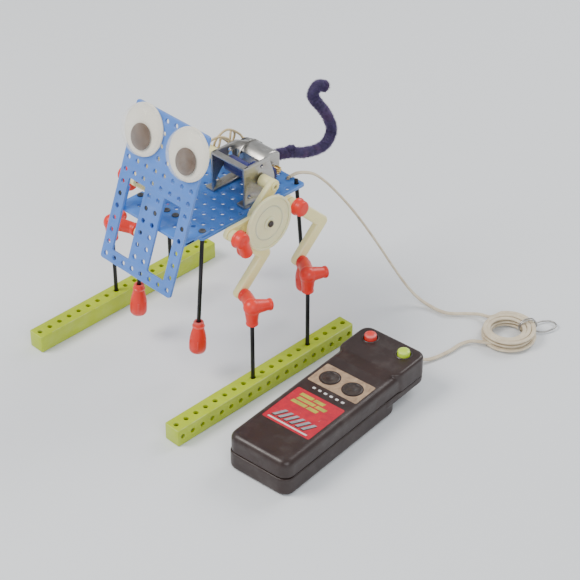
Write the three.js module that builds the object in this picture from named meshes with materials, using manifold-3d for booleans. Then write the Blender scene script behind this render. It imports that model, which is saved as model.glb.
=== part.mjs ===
// Four-legged walking robot built from a perforated-plate hobby kit, with its wired hand control.
// Millimetres, +Z up, the robot faces -Y, and its skis stand on Z = 0.
// Every mesh is one real piece. The groups at the end hold the head plate and the hand control,
// which sit at an angle to the rest.
import * as THREE from "three";
import { mergeVertices } from "three/addons/utils/BufferGeometryUtils.js";
import Module from "manifold-3d";

const wasm = await Module();
wasm.setup();

// ---------------------------------------------------------------- driving dimensions
const PITCH = 8;                 // hole spacing of every plate and rail in the kit
const GAP = 0.3;                 // clearance kept between neighbouring pieces
const HOLE_R = 1.85;             // corner radius of the six-sided system hole
const ROD_R = 1.3;               // plain rods that push into the system holes

const RAIL = { x: 65, holes: 19, size: 12, wall: 1.8, top: 2 };
const ROD_HOLES = [8, 14];       // which rail holes carry the front and rear ski rod
const BODY = { width: 64, front: -17, rear: 71, top: 104, thick: 2 };
const HEAD = { width: 64, height: 104, thick: 2, y: -45, z: 74, lean: 20.7 };
const NECK = { half: 31, centreHalf: 7.4, earInner: 24.4, rear: -9, thick: 2, reach: 16 };
const EYE = { x: 20, up: 88.6, r: 16.5, backThick: 1, pupilR: 8.3, pupilDrop: 4.5 };

const AXLE = { y: 36.8, z: 120.3, r: 1.25, half: 39.2 };
const PIN = { y: 21, z: 106.5, r: 1.6, end: 52.4 };
const ARM = { inner: 35.5, outer: 39.5, halfWidth: 4.2, hubR: 4 };
const DISC = { inner: 49.4, outer: 51.6, r: 18.2, rim: 1.1 };
const BAR = { inner: 40.5, outer: 43.5, halfWidth: 4 };
const LEG = { inner: 43.8, outer: 48.8, halfWidth: 3.9 };
const HIP = { reach: 25, r: 5.8, inner: 49.1, outer: 55.6, spur: [4, -11.4], spurR: 3.8 };
const KNEE_STEP = [24.5, -23.5];   // hip to knee, rearward and up
const ANKLE_STEP = [-21, -19.5];
const FOOT = { z: 66, socketBottom: 53, rodTop: 61.7 };

const BOX = {
  near: 27.3, far: -2.3, wall: 1.5, front: 22.8, rear: 66, nearRear: 48.6, low: 105.4, high: 133,
};
const TOOTH = { module: 0.5, tip: 0.35, root: 0.65, bigTeeth: 32, smallTeeth: 8 };
const LAY_ANGLE = -31;           // direction from the axle to the layshaft, degrees
const MOTOR_ANGLE = 11;          // direction from the layshaft to the motor shaft, degrees
const MOTOR = { r: 10, flat: 7.6, front: 18, rear: -6, capRear: -10.5 };
const FINAL_FACE = [18.4, 21.2]; // where the final gear and the small layshaft gear run
const FIRST_FACE = [21.6, 24.8]; // where the pinion and the large layshaft gear run

const POST = { x: 28, holes: [0, 10], top: 107, tipTop: 41, tipBottom: 19, lean: 5 };
const TAIL_R = 3.6;

const REMOTE = { x: 119.9, y: 5.75, turn: 5.14, width: 47, front: -71, rear: 64, split: 12.5 };
const REMOTE_TOP = 25;
const REMOTE_HEAD = { start: 33, top: 26.5, under: 7 };
const BUTTON = { x: 13, y: 54, r: 4, top: 30.4 };
const WALL = 2;
const CELL = { r: 7.2, length: 50, x: 7.7, y: -20 };

const CORD_R = 1.4;
const COIL = { x: 141, y: 148, inner: 10, outer: 18, height: 10 };

// ---------------------------------------------------------------- materials
function paint(hex, roughness, metalness = 0) {
  return new THREE.MeshStandardMaterial({ color: hex, roughness, metalness });
}
const HEAD_BLUE = paint(0x7f9bdc, 0.45);
const BODY_BLUE = paint(0x3f7bc8, 0.45);
const LIME = paint(0xa9c92c, 0.45);
const CREAM = paint(0xe8e0c4, 0.5);
const MILKY = paint(0xd8d0b8, 0.4);
const RED = paint(0xe23b30, 0.45);
const BLACK = paint(0x1c1c1e, 0.4);
const STEEL = paint(0xb8bcc2, 0.3, 0.9);
const GEAR_BLUE = paint(0x2a2a66, 0.5);
const PLUSH = paint(0x2c2545, 0.95);
const WHITE = paint(0xf2eee6, 0.5);
const CLEAR = paint(0xf4f8fa, 0.1);
const PUPIL = paint(0x2a1f1a, 0.5);
const BROWN = paint(0x3a2a2a, 0.4);
const GREEN = paint(0xb8d430, 0.45);
const CORD = paint(0xd8d0bc, 0.6);

// ---------------------------------------------------------------- solids
function solid(geometry) {
  const bare = geometry.clone();
  bare.deleteAttribute("normal");
  bare.deleteAttribute("uv");
  const merged = mergeVertices(bare, 1e-4);
  const corners = merged.index.array;
  const kept = [];
  for (let i = 0; i < corners.length; i += 3) {
    const [a, b, c] = [corners[i], corners[i + 1], corners[i + 2]];
    if (a !== b && b !== c && c !== a) {
      kept.push(a, b, c);
    }
  }
  const vertProperties = Float32Array.from(merged.attributes.position.array);
  const triVerts = Uint32Array.from(kept);
  return new wasm.Manifold(new wasm.Mesh({ numProp: 3, vertProperties, triVerts }));
}

function surface(body) {
  const mesh = body.getMesh();
  const geometry = new THREE.BufferGeometry();
  geometry.setAttribute("position", new THREE.BufferAttribute(mesh.vertProperties, 3));
  geometry.setIndex(new THREE.BufferAttribute(mesh.triVerts, 1));
  return geometry;
}

function join(first, ...others) {
  return others.reduce((whole, next) => whole.add(next), first);
}

function cut(first, ...others) {
  return others.reduce((whole, next) => whole.subtract(next), first);
}

function block(x0, x1, y0, y1, z0, z1) {
  const geometry = new THREE.BoxGeometry(x1 - x0, y1 - y0, z1 - z0);
  geometry.translate((x0 + x1) / 2, (y0 + y1) / 2, (z0 + z1) / 2);
  return solid(geometry);
}

// A round or many-sided bar between two points, straight or tapered.
function bar(from, to, radius, sides = 12, endRadius = radius) {
  const start = new THREE.Vector3(...from);
  const along = new THREE.Vector3(...to).sub(start);
  const geometry = new THREE.CylinderGeometry(endRadius, radius, along.length(), sides);
  const up = new THREE.Vector3(0, 1, 0);
  geometry.applyQuaternion(new THREE.Quaternion().setFromUnitVectors(up, along.clone().normalize()));
  const middle = start.addScaledVector(along, 0.5);
  geometry.translate(middle.x, middle.y, middle.z);
  return solid(geometry);
}

function ball(centre, radius) {
  const geometry = new THREE.SphereGeometry(radius, 8, 5);
  geometry.translate(...centre);
  return solid(geometry);
}

// A shape drawn in (Y, Z), pushed along X from x0 to x1.
function acrossX(shape, x0, x1) {
  const geometry = new THREE.ExtrudeGeometry(shape, {
    depth: x1 - x0, bevelEnabled: false, curveSegments: 4,
  });
  const turn = new THREE.Matrix4().makeBasis(
    new THREE.Vector3(0, 1, 0), new THREE.Vector3(0, 0, 1), new THREE.Vector3(1, 0, 0));
  geometry.applyMatrix4(turn);
  geometry.translate(x0, 0, 0);
  return solid(geometry);
}

// A shape drawn in (X, Y), pushed up from z0 to z1.
function upZ(shape, z0, z1, curveSegments = 2) {
  const geometry = new THREE.ExtrudeGeometry(shape, {
    depth: z1 - z0, bevelEnabled: false, curveSegments,
  });
  geometry.translate(0, 0, z0);
  return solid(geometry);
}

function tube(points, radius, steps) {
  const path = new THREE.CatmullRomCurve3(points.map((p) => new THREE.Vector3(...p)));
  const section = new THREE.Shape();
  section.absarc(0, 0, radius, 0, Math.PI * 2);
  const geometry = new THREE.ExtrudeGeometry(section, {
    steps, extrudePath: path, bevelEnabled: false, curveSegments: 4,
  });
  return solid(geometry);
}

const degrees = THREE.MathUtils.degToRad;

// ---------------------------------------------------------------- perforated plates
function sixSided(x, y) {
  const path = new THREE.Path();
  for (let i = 0; i < 6; i += 1) {
    const angle = -i * Math.PI / 3;
    const point = [x + HOLE_R * Math.cos(angle), y + HOLE_R * Math.sin(angle)];
    if (i === 0) {
      path.moveTo(...point);
    } else {
      path.lineTo(...point);
    }
  }
  path.closePath();
  return path;
}

function rectangle(x0, x1, y0, y1, corner) {
  const shape = new THREE.Shape();
  shape.moveTo(x0 + corner, y0);
  shape.lineTo(x1 - corner, y0);
  shape.absarc(x1 - corner, y0 + corner, corner, -Math.PI / 2, 0);
  shape.lineTo(x1, y1 - corner);
  shape.absarc(x1 - corner, y1 - corner, corner, 0, Math.PI / 2);
  shape.lineTo(x0 + corner, y1);
  shape.absarc(x0 + corner, y1 - corner, corner, Math.PI / 2, Math.PI);
  shape.lineTo(x0, y0 + corner);
  shape.absarc(x0 + corner, y0 + corner, corner, Math.PI, Math.PI * 1.5);
  return shape;
}

function columnX(index, columns) {
  return (index - (columns - 1) / 2) * PITCH;
}

function bodyPlate() {
  const shape = rectangle(-BODY.width / 2, BODY.width / 2, BODY.front, BODY.rear, 2);
  const columns = BODY.width / PITCH;
  const rows = (BODY.rear - BODY.front) / PITCH;
  for (let row = 0; row < rows; row += 1) {
    for (let column = 0; column < columns; column += 1) {
      shape.holes.push(sixSided(columnX(column, columns), BODY.front + (row + 0.5) * PITCH));
    }
  }
  return upZ(shape, BODY.top - BODY.thick, BODY.top, 1);
}

// The head plate is drawn flat, X across and Y up the plate, and is stood up by headFrame.
function headPlate() {
  const shape = rectangle(-HEAD.width / 2, HEAD.width / 2, 0, HEAD.height, 2);
  const columns = HEAD.width / PITCH;
  const rows = HEAD.height / PITCH;
  const inSlot = (row, column) => row >= 1 && row <= 6 && [1, 2, 5, 6].includes(column);
  for (let row = 0; row < rows; row += 1) {
    for (let column = 0; column < columns; column += 1) {
      if (!inSlot(row, column)) {
        shape.holes.push(sixSided(columnX(column, columns), (row + 0.5) * PITCH));
      }
    }
  }
  for (const side of [-1, 1]) {
    const x = side * 2 * PITCH;
    shape.holes.push(rectangle(x - PITCH + 0.5, x + PITCH - 0.5, PITCH, 7 * PITCH, 1));
  }
  return upZ(shape, -HEAD.thick, 0, 1);
}

// ---------------------------------------------------------------- rails, posts, tips
function rail(x) {
  const half = RAIL.holes * PITCH / 2;
  const side = RAIL.size / 2;
  const inner = side - RAIL.wall;
  const outside = block(x - side, x + side, -half, half, 0, RAIL.size);
  const hollow = block(x - inner, x + inner, -half + 2, half - 2, -1, RAIL.size - RAIL.top);
  const holes = [];
  for (let i = 0; i < RAIL.holes; i += 1) {
    const y = railHoleY(i);
    holes.push(bar([x, y, RAIL.size / 2], [x, y, RAIL.size + 1], HOLE_R, 6));
    holes.push(bar([x, y, side], [x + Math.sign(x) * (side + 1), y, side], HOLE_R, 6));
  }
  return cut(outside, hollow, ...holes);
}

function railHoleY(index) {
  return (index - (RAIL.holes - 1) / 2) * PITCH;
}

function postY(index) {
  return BODY.front + (index + 0.5) * PITCH;
}

// A post leans outward, so its tip stands further forward or further back than its hole.
function alongPost(side, end, z) {
  const angle = degrees(POST.lean);
  const drop = BODY.top - z;
  const outward = end === "front" ? -1 : 1;
  const hole = postY(POST.holes[end === "front" ? 0 : 1]);
  return [
    side * POST.x, hole + outward * drop * Math.sin(angle), BODY.top - drop * Math.cos(angle),
  ];
}

function tip(side, end) {
  const socket = POST.tipTop - 10;
  const profile = [
    [0, POST.tipBottom], [4.3, POST.tipBottom], [5.5, POST.tipBottom + 2.5],
    [5.2, POST.tipBottom + 11], [3.7, POST.tipTop - 5], [3.3, POST.tipTop],
    [1.7, POST.tipTop], [1.7, socket], [0, socket],
  ];
  const geometry = new THREE.LatheGeometry(profile.map((p) => new THREE.Vector2(...p)), 10);
  geometry.rotateX(Math.PI / 2);
  geometry.rotateX((end === "front" ? -1 : 1) * degrees(POST.lean));
  geometry.translate(...alongPost(side, end, 0));
  return solid(geometry);
}

// ---------------------------------------------------------------- ski frames
function stadium(from, to, halfWidth) {
  const angle = Math.atan2(to[1] - from[1], to[0] - from[0]);
  const shape = new THREE.Shape();
  shape.absarc(to[0], to[1], halfWidth, angle - Math.PI / 2, angle + Math.PI / 2);
  shape.absarc(from[0], from[1], halfWidth, angle + Math.PI / 2, angle + Math.PI * 1.5);
  return shape;
}

function pair(side, x0, x1) {
  return side > 0 ? [x0, x1] : [-x1, -x0];
}

function throughHole(side, x0, x1, y, z, radius = HOLE_R) {
  const [low, high] = pair(side, x0 - 1, x1 + 1);
  return bar([low, y, z], [high, y, z], radius, 6);
}

function hipBar(side) {
  const front = [PIN.y - HIP.reach, PIN.z];
  const rear = [PIN.y + HIP.reach, PIN.z];
  const body = acrossX(stadium(front, rear, BAR.halfWidth), ...pair(side, BAR.inner, BAR.outer));
  return cut(body,
    throughHole(side, BAR.inner, BAR.outer, ...front),
    throughHole(side, BAR.inner, BAR.outer, ...rear),
    throughHole(side, BAR.inner, BAR.outer, PIN.y, PIN.z, 2.3));
}

function leg(side, hip) {
  const knee = [hip[0] + KNEE_STEP[0], hip[1] + KNEE_STEP[1]];
  const ankle = [knee[0] + ANKLE_STEP[0], knee[1] + ANKLE_STEP[1]];
  const span = pair(side, LEG.inner, LEG.outer);
  const body = join(
    acrossX(stadium(hip, knee, LEG.halfWidth), ...span),
    acrossX(stadium(knee, ankle, LEG.halfWidth), ...span));
  return cut(body,
    throughHole(side, LEG.inner, LEG.outer, ...hip),
    throughHole(side, LEG.inner, LEG.outer, ...ankle));
}

function ankleOf(hip) {
  return [hip[0] + KNEE_STEP[0] + ANKLE_STEP[0], hip[1] + KNEE_STEP[1] + ANKLE_STEP[1]];
}

// The front connector's third socket points down and rearward; the rear one has none.
function hipConnector(side, hip, withSpur) {
  const at = (x, dy = 0, dz = 0) => [side * x, hip[0] + dy, hip[1] + dz];
  const parts = [
    bar(at(HIP.inner), at(HIP.inner + 2), HIP.r, 12),
    bar(at(HIP.inner + 1), at(HIP.outer), HIP.r - 0.6, 12, HIP.r - 0.4),
    bar(at(BAR.inner), at(HIP.inner + 1), ROD_R, 8),
  ];
  if (withSpur) {
    const middle = (HIP.inner + HIP.outer) / 2 + 0.4;
    parts.push(bar(at(middle), at(middle, ...HIP.spur), HIP.spurR, 10, HIP.spurR - 0.3));
  }
  return join(...parts);
}

function footConnector(side, ankle, rodY) {
  const x = side * RAIL.x;
  const hub = [x, rodY, FOOT.z];
  const face = [side * (LEG.outer + GAP), ankle[0], ankle[1]];
  const shoulder = [side * (LEG.outer + 4), ankle[0], ankle[1]];
  const pinEnd = [side * LEG.inner, ankle[0], ankle[1]];
  const spur = [x + side * 4, rodY + 12.5, FOOT.z - 2];
  const body = join(
    ball(hub, 5.4),
    bar([x, rodY, FOOT.socketBottom], hub, 3.3, 10, 4.8),
    bar(hub, shoulder, 4.6, 8, 4),
    bar(face, shoulder, 4.2, 8, 4),
    bar(pinEnd, shoulder, ROD_R, 6),
    bar(hub, spur, 5, 10, 3.2));
  const socket = bar([x, rodY, FOOT.socketBottom - 1], [x, rodY, FOOT.rodTop + GAP], HOLE_R, 6);
  return cut(body, socket);
}

// ---------------------------------------------------------------- cranks
function crankArm(side) {
  const hubStart = side > 0 ? BOX.near + 1 : -BOX.far + 1;
  const span = pair(side, ARM.inner, ARM.outer);
  const at = (x, point) => [side * x, point.y, point.z];
  const body = join(
    acrossX(stadium([AXLE.y, AXLE.z], [PIN.y, PIN.z], ARM.halfWidth), ...span),
    bar(at(hubStart, AXLE), at(ARM.inner + 1, AXLE), ARM.hubR, 12),
    bar(at(ARM.inner + 1, PIN), at(PIN.end, PIN), PIN.r, 8));
  return cut(body, bar(at(hubStart - 1, AXLE), at(ARM.outer + 1, AXLE), HOLE_R, 6));
}

function crankDisc(side) {
  const at = (x) => [side * x, PIN.y, PIN.z];
  const body = bar(at(DISC.inner), at(DISC.outer), DISC.r, 24);
  const recess = bar(at(DISC.outer - DISC.rim), at(DISC.outer + 1), DISC.r - 2, 24);
  const boss = bar(at(DISC.inner), at(DISC.outer), 4, 12);
  return cut(join(cut(body, recess), boss), bar(at(DISC.inner - 1), at(DISC.outer + 1), 2.2, 8));
}

// ---------------------------------------------------------------- gearbox
function gearOutline(teeth, phase) {
  const pitchR = TOOTH.module * teeth / 2;
  const step = Math.PI * 2 / teeth;
  const tipHalf = 0.22 * TOOTH.module * Math.PI / 2 / pitchR;
  const rootHalf = 0.5 * TOOTH.module * Math.PI / 2 / pitchR;
  const shape = new THREE.Shape();
  const corners = [];
  for (let i = 0; i < teeth; i += 1) {
    const centre = phase + i * step;
    corners.push([pitchR - TOOTH.root, centre - rootHalf], [pitchR + TOOTH.tip, centre - tipHalf]);
    corners.push([pitchR + TOOTH.tip, centre + tipHalf], [pitchR - TOOTH.root, centre + rootHalf]);
  }
  corners.forEach(([radius, angle], i) => {
    const point = [radius * Math.cos(angle), radius * Math.sin(angle)];
    if (i === 0) {
      shape.moveTo(...point);
    } else {
      shape.lineTo(...point);
    }
  });
  shape.closePath();
  return shape;
}

function gear(teeth, phase, centre, face) {
  const geometry = surface(acrossX(gearOutline(teeth, phase), ...face));
  geometry.translate(0, centre[0], centre[1]);
  return solid(geometry);
}

const CENTRES = TOOTH.module * (TOOTH.bigTeeth + TOOTH.smallTeeth) / 2;
const AXLE_AT = [AXLE.y, AXLE.z];
const LAY_AT = polar(AXLE_AT, CENTRES, LAY_ANGLE);
const MOTOR_AT = polar(LAY_AT, CENTRES, MOTOR_ANGLE);

function polar(from, distance, angle) {
  const turn = degrees(angle);
  return [from[0] + distance * Math.cos(turn), from[1] + distance * Math.sin(turn)];
}

function drilled(body, at, radius, span) {
  return cut(body, bar([span[0] - 1, ...at], [span[1] + 1, ...at], radius, 6));
}

// Tooth zero of the driving gear points along the centre line, where its mate has a gap.
function driveGear() {
  const body = join(
    gear(TOOTH.bigTeeth, degrees(LAY_ANGLE), AXLE_AT, FINAL_FACE),
    bar([BOX.far + BOX.wall + GAP, ...AXLE_AT], [FINAL_FACE[0] + 1, ...AXLE_AT], 5.2, 12));
  return drilled(body, AXLE_AT, HOLE_R, [BOX.far, FINAL_FACE[1]]);
}

function layGear() {
  const smallGap = Math.PI / TOOTH.smallTeeth;
  const small = gear(TOOTH.smallTeeth, degrees(LAY_ANGLE + 180) + smallGap, LAY_AT,
    [FINAL_FACE[0], FIRST_FACE[0] + 1]);
  const big = gear(TOOTH.bigTeeth, degrees(MOTOR_ANGLE), LAY_AT, FIRST_FACE);
  const shaft = bar([BOX.far, ...LAY_AT], [BOX.near, ...LAY_AT], 0.9, 8);
  return join(small, big, shaft);
}

function pinion() {
  const smallGap = Math.PI / TOOTH.smallTeeth;
  const body = gear(TOOTH.smallTeeth, degrees(MOTOR_ANGLE + 180) + smallGap, MOTOR_AT, FIRST_FACE);
  return join(body, bar([MOTOR.front + GAP, ...MOTOR_AT], [FIRST_FACE[1] + 0.6, ...MOTOR_AT], 0.9, 8));
}

// The near plate ends behind the layshaft; the far one goes on to hold the motor.
function boxSide(near, x0, x1) {
  const rear = near ? BOX.nearRear : BOX.rear;
  const shape = new THREE.Shape();
  shape.moveTo(BOX.front, BOX.low);
  shape.lineTo(rear, BOX.low);
  shape.lineTo(rear, BOX.high - (near ? 14 : 11));
  shape.lineTo(BOX.front + 21, BOX.high);
  shape.lineTo(BOX.front, BOX.high);
  return acrossX(shape, x0, x1);
}

function boxBore(at, radius, x0, x1) {
  return bar([x0 - 2, ...at], [x1 + 2, ...at], radius, 10);
}

function gearboxSide(near) {
  const [x0, x1] = near ? [BOX.near - BOX.wall, BOX.near] : [BOX.far, BOX.far + BOX.wall];
  const flange = near
    ? block(x0 - 6, x1, BOX.front, BOX.front + 16, BOX.low, BOX.low + BOX.wall)
    : block(x0 - 6, x1, BOX.front, BOX.rear, BOX.low, BOX.low + BOX.wall);
  const body = join(boxSide(near, x0, x1), flange);
  const bores = [boxBore(AXLE_AT, 1.75, x0, x1), boxBore(LAY_AT, 1.4, x0, x1)];
  if (!near) {
    bores.push(boxBore(MOTOR_AT, MOTOR.r + 0.5, x0, x1));
  }
  bores.push(boxBore([BOX.front + 3.5, BOX.low + 6], 1.5, x0, x1));
  return cut(body, ...bores);
}

function gearboxStrap() {
  const x0 = BOX.far + BOX.wall + GAP;
  const x1 = BOX.near - BOX.wall - GAP;
  return block(x0, x1, BOX.front, BOX.front + 4, BOX.high - 1.5, BOX.high);
}

function motor() {
  const can = bar([MOTOR.rear, ...MOTOR_AT], [MOTOR.front, ...MOTOR_AT], MOTOR.r, 20);
  const flats = block(MOTOR.rear - 1, MOTOR.front + 1, MOTOR_AT[0] - MOTOR.flat,
    MOTOR_AT[0] + MOTOR.flat, MOTOR_AT[1] - MOTOR.r - 1, MOTOR_AT[1] + MOTOR.r + 1);
  const cap = bar([MOTOR.capRear, ...MOTOR_AT], [MOTOR.rear + 0.5, ...MOTOR_AT], 7.4, 16);
  const bearing = bar([MOTOR.capRear - 1.6, ...MOTOR_AT], [MOTOR.rear, ...MOTOR_AT], 3, 10);
  return join(can.intersect(flats), cap, bearing);
}

// ---------------------------------------------------------------- head, neck, eyes, tail
const headFrame = new THREE.Matrix4()
  .makeTranslation(0, HEAD.y, HEAD.z)
  .multiply(new THREE.Matrix4().makeRotationX(degrees(90 - HEAD.lean)));

function inHead(body) {
  const geometry = surface(body);
  geometry.applyMatrix4(headFrame);
  return solid(geometry);
}

function neckBracket() {
  const bend = 33.6;
  const plateZ = [BODY.top + GAP, BODY.top + GAP + NECK.thick];
  const backFace = -HEAD.thick - GAP;
  const floor = block(-NECK.half, NECK.half, HEAD.y + 14, NECK.rear, ...plateZ);
  const tab = (x0, x1) => inHead(
    block(x0, x1, bend - 2.3, bend + NECK.reach, backFace - NECK.thick, backFace));
  const tabs = [
    tab(-NECK.centreHalf, NECK.centreHalf),
    tab(NECK.earInner, NECK.half),
    tab(-NECK.half, -NECK.earInner),
  ];
  const under = block(-NECK.half - 1, NECK.half + 1, HEAD.y, NECK.rear, 90, plateZ[0]);
  const ahead = inHead(block(-NECK.half - 1, NECK.half + 1, 0, HEAD.height, backFace, 10));
  const holes = [];
  for (const x of [-28, -20, -12, -4, 4, 12, 20, 28]) {
    holes.push(bar([x, BODY.front + PITCH / 2, 100], [x, BODY.front + PITCH / 2, 110], HOLE_R, 6));
  }
  return cut(join(floor, ...tabs), under, ahead, ...holes);
}

function eyeBack() {
  return bar([0, 0, 0], [0, 0, EYE.backThick], EYE.r, 20);
}

// A clear blister: a short upright rim and a low crown, open at the back.
function eyeDome() {
  const r = EYE.r - 0.1;
  const geometry = new THREE.LatheGeometry([
    [0, 6.2], [9.8, 5.2], [14, 3.6], [r - 0.8, 1.7], [r - 0.8, 0],
    [r, 0], [r, 2], [14.8, 4.3], [10.2, 6], [0, 7],
  ].map((p) => new THREE.Vector2(...p)), 16);
  geometry.rotateX(Math.PI / 2);
  return solid(geometry);
}

function pupil() {
  return bar([0, -EYE.pupilDrop, 0], [0, -EYE.pupilDrop, 1], EYE.pupilR, 16);
}

function tail() {
  return tube([
    [0, 66.8, 107.7], [0, 71, 108.3], [0, 77, 108.2], [0, 88, 105], [0, 105, 98],
    [0, 121, 96.5], [0, 127.5, 104], [0, 123, 118], [0, 114, 131], [0, 109.5, 139],
    [0, 114.5, 143.5], [0, 121.5, 140],
  ], TAIL_R, 28);
}

// ---------------------------------------------------------------- hand control
function remoteOutline(inset, y0, y1) {
  const half = REMOTE.width / 2 - inset;
  return rectangle(-half, half, y0, y1, 7 - inset);
}

function remoteTop() {
  const { front, rear } = REMOTE;
  const z0 = REMOTE.split + GAP / 2;
  const shell = join(
    upZ(remoteOutline(0, front, rear), z0, REMOTE_TOP),
    upZ(remoteOutline(0, REMOTE_HEAD.start, rear), REMOTE_TOP - 4, REMOTE_HEAD.top));
  const hollow = join(
    upZ(remoteOutline(WALL, front + WALL, rear - WALL), z0 - 1, REMOTE_TOP - WALL),
    upZ(remoteOutline(WALL, REMOTE_HEAD.start + WALL, rear - WALL), z0, REMOTE_HEAD.top - WALL));
  const bores = [-1, 1].map((side) => bar(
    [side * BUTTON.x, BUTTON.y, z0], [side * BUTTON.x, BUTTON.y, 40], BUTTON.r + 0.45, 14));
  return cut(shell, hollow, ...bores, remoteCordHole());
}

function remoteCordHole() {
  const { rear, split } = REMOTE;
  return bar([0, rear - WALL - 1, split], [0, rear + 1, split], CORD_R + 0.5, 10);
}

function coverOpening(grow) {
  return [-17 - grow, 17 + grow, CELL.y - 28 - grow, CELL.y + 28 + grow];
}

function remoteBottom() {
  const { front, rear } = REMOTE;
  const z1 = REMOTE.split - GAP / 2;
  const under = REMOTE_HEAD.under;
  const shell = join(
    upZ(remoteOutline(0, front, REMOTE_HEAD.start + 2), 0, z1),
    upZ(remoteOutline(0, REMOTE_HEAD.start - 14, rear), under, z1));
  const hollow = join(
    upZ(remoteOutline(WALL, front + WALL, REMOTE_HEAD.start), WALL, z1 + 1),
    upZ(remoteOutline(WALL, REMOTE_HEAD.start - 12, rear - WALL), under + WALL, z1 + 1));
  return cut(shell, hollow, block(...coverOpening(GAP), -1, WALL + 1), remoteCordHole());
}

// Two AA cells held by the contact strip that joins them at one end.
function batteries() {
  const z = WALL + CELL.r + 0.7;
  const y0 = CELL.y - CELL.length / 2;
  const y1 = CELL.y + CELL.length / 2;
  const cells = [-1, 1].map((side) => join(
    bar([side * CELL.x, y0, z], [side * CELL.x, y1, z], CELL.r, 14),
    bar([side * CELL.x, y1 - 1, z], [side * CELL.x, y1 + 1.2, z], 2.6, 8)));
  return join(...cells, block(-10, 10, y0 - 0.8, y0 + 0.5, z - 3, z + 3));
}

function button() {
  const low = REMOTE_HEAD.top - WALL - GAP;
  return join(
    bar([0, 0, low], [0, 0, BUTTON.top], BUTTON.r, 14),
    bar([0, 0, low - 2], [0, 0, low], BUTTON.r + 1.4, 14));
}

// ---------------------------------------------------------------- cord
// The cord's route, laid by hand: over the body plate's rear edge, down to the table, along to the
// coil, and from the coil to the hand control.
const CORD_TO_COIL = [
  [22, 67.4, 105.9], [23, 73, 106.6], [28, 83, 103.5], [37, 95, 88], [47, 107, 66], [56, 118, 42],
  [64, 127, 21], [73, 133, 7], [83, 136, 2], [97, 138, 1.8], [106, 146, 1.8], [114, 151.5, 2.6],
  [122.4, 152.5, 4.5],
];
const CORD_TO_REMOTE = [
  [135, 129, 3.4], [128.8, 126.2, 2.2], [125.6, 119, 1.8], [125.5, 110, 1.8], [121.5, 92, 2],
  [115.6, 81, 7], [114, 70.6, REMOTE.split],
];

function coil() {
  const geometry = new THREE.LatheGeometry([
    [COIL.inner, 2.5], [COIL.inner + 2.5, GAP], [COIL.outer - 2.5, GAP], [COIL.outer, 2.8],
    [COIL.outer, COIL.height - 2.5], [COIL.outer - 2.5, COIL.height],
    [COIL.inner + 2.5, COIL.height], [COIL.inner, COIL.height - 2.5], [COIL.inner, 2.5],
  ].map((p) => new THREE.Vector2(...p)), 20);
  geometry.rotateX(Math.PI / 2);
  geometry.translate(COIL.x, COIL.y, 0);
  return solid(geometry);
}

function twistTie() {
  const geometry = new THREE.TorusGeometry(6, 0.8, 5, 14);
  geometry.scale(0.9, 1.35, 1);
  geometry.rotateZ(degrees(-22));
  geometry.translate(COIL.x + 10.5, COIL.y + 25, 1);
  return solid(geometry);
}

// ---------------------------------------------------------------- the assembly
const robot = new THREE.Group();
const head = new THREE.Group();
const handControl = new THREE.Group();
head.applyMatrix4(headFrame);
handControl.position.set(REMOTE.x, REMOTE.y, 0);
handControl.rotation.z = degrees(REMOTE.turn);
robot.add(head, handControl);

function place(name, body, material, parent = robot, position = [0, 0, 0]) {
  const geometry = surface(body);
  geometry.computeVertexNormals();
  const mesh = new THREE.Mesh(geometry, material);
  mesh.name = name;
  mesh.position.set(...position);
  parent.add(mesh);
}

place("body_plate", bodyPlate(), BODY_BLUE);
place("neck_bracket", neckBracket(), BODY_BLUE);
place("head_plate", headPlate(), HEAD_BLUE, head);
for (const [side, label] of [[-1, "right"], [1, "left"]]) {
  const at = (lift) => [side * EYE.x, EYE.up, lift];
  place(`eye_back_${label}`, eyeBack(), WHITE, head, at(GAP));
  place(`pupil_${label}`, pupil(), PUPIL, head, at(GAP * 2 + EYE.backThick));
  place(`eye_dome_${label}`, eyeDome(), CLEAR, head, at(GAP * 2 + EYE.backThick));
}
place("tail", tail(), PLUSH);

place("gearbox_side_left", gearboxSide(true), STEEL);
place("gearbox_side_right", gearboxSide(false), STEEL);
place("gearbox_strap", gearboxStrap(), STEEL);
place("motor", motor(), STEEL);
place("motor_pinion", pinion(), STEEL);
place("lay_gear", layGear(), GEAR_BLUE);
place("drive_gear", driveGear(), GEAR_BLUE);
place("crank_axle", bar([-AXLE.half, ...AXLE_AT], [AXLE.half, ...AXLE_AT], AXLE.r, 8), STEEL);

for (const [side, label] of [[-1, "right"], [1, "left"]]) {
  place(`crank_arm_${label}`, crankArm(side), CREAM);
  place(`crank_disc_${label}`, crankDisc(side), MILKY);
  place(`hip_bar_${label}`, hipBar(side), CREAM);
  place(`rail_${label}`, rail(side * RAIL.x), LIME);
  ["front", "rear"].forEach((end, i) => {
    const hip = [PIN.y + (i === 0 ? -1 : 1) * HIP.reach, PIN.z];
    const rodY = railHoleY(ROD_HOLES[i]);
    const rod = bar([side * RAIL.x, rodY, 3], [side * RAIL.x, rodY, FOOT.rodTop], ROD_R, 8);
    place(`hip_connector_${end}_${label}`, hipConnector(side, hip, i === 0), RED);
    place(`leg_${end}_${label}`, leg(side, hip), CREAM);
    place(`foot_connector_${end}_${label}`, footConnector(side, ankleOf(hip), rodY), RED);
    place(`ski_rod_${end}_${label}`, rod, BLACK);
    const foot = POST.tipTop - 10 + GAP;
    const post = bar(alongPost(side, end, foot), alongPost(side, end, POST.top), ROD_R, 8);
    place(`post_${end}_${label}`, post, BLACK);
    place(`tip_${end}_${label}`, tip(side, end), RED);
  });
}

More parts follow.
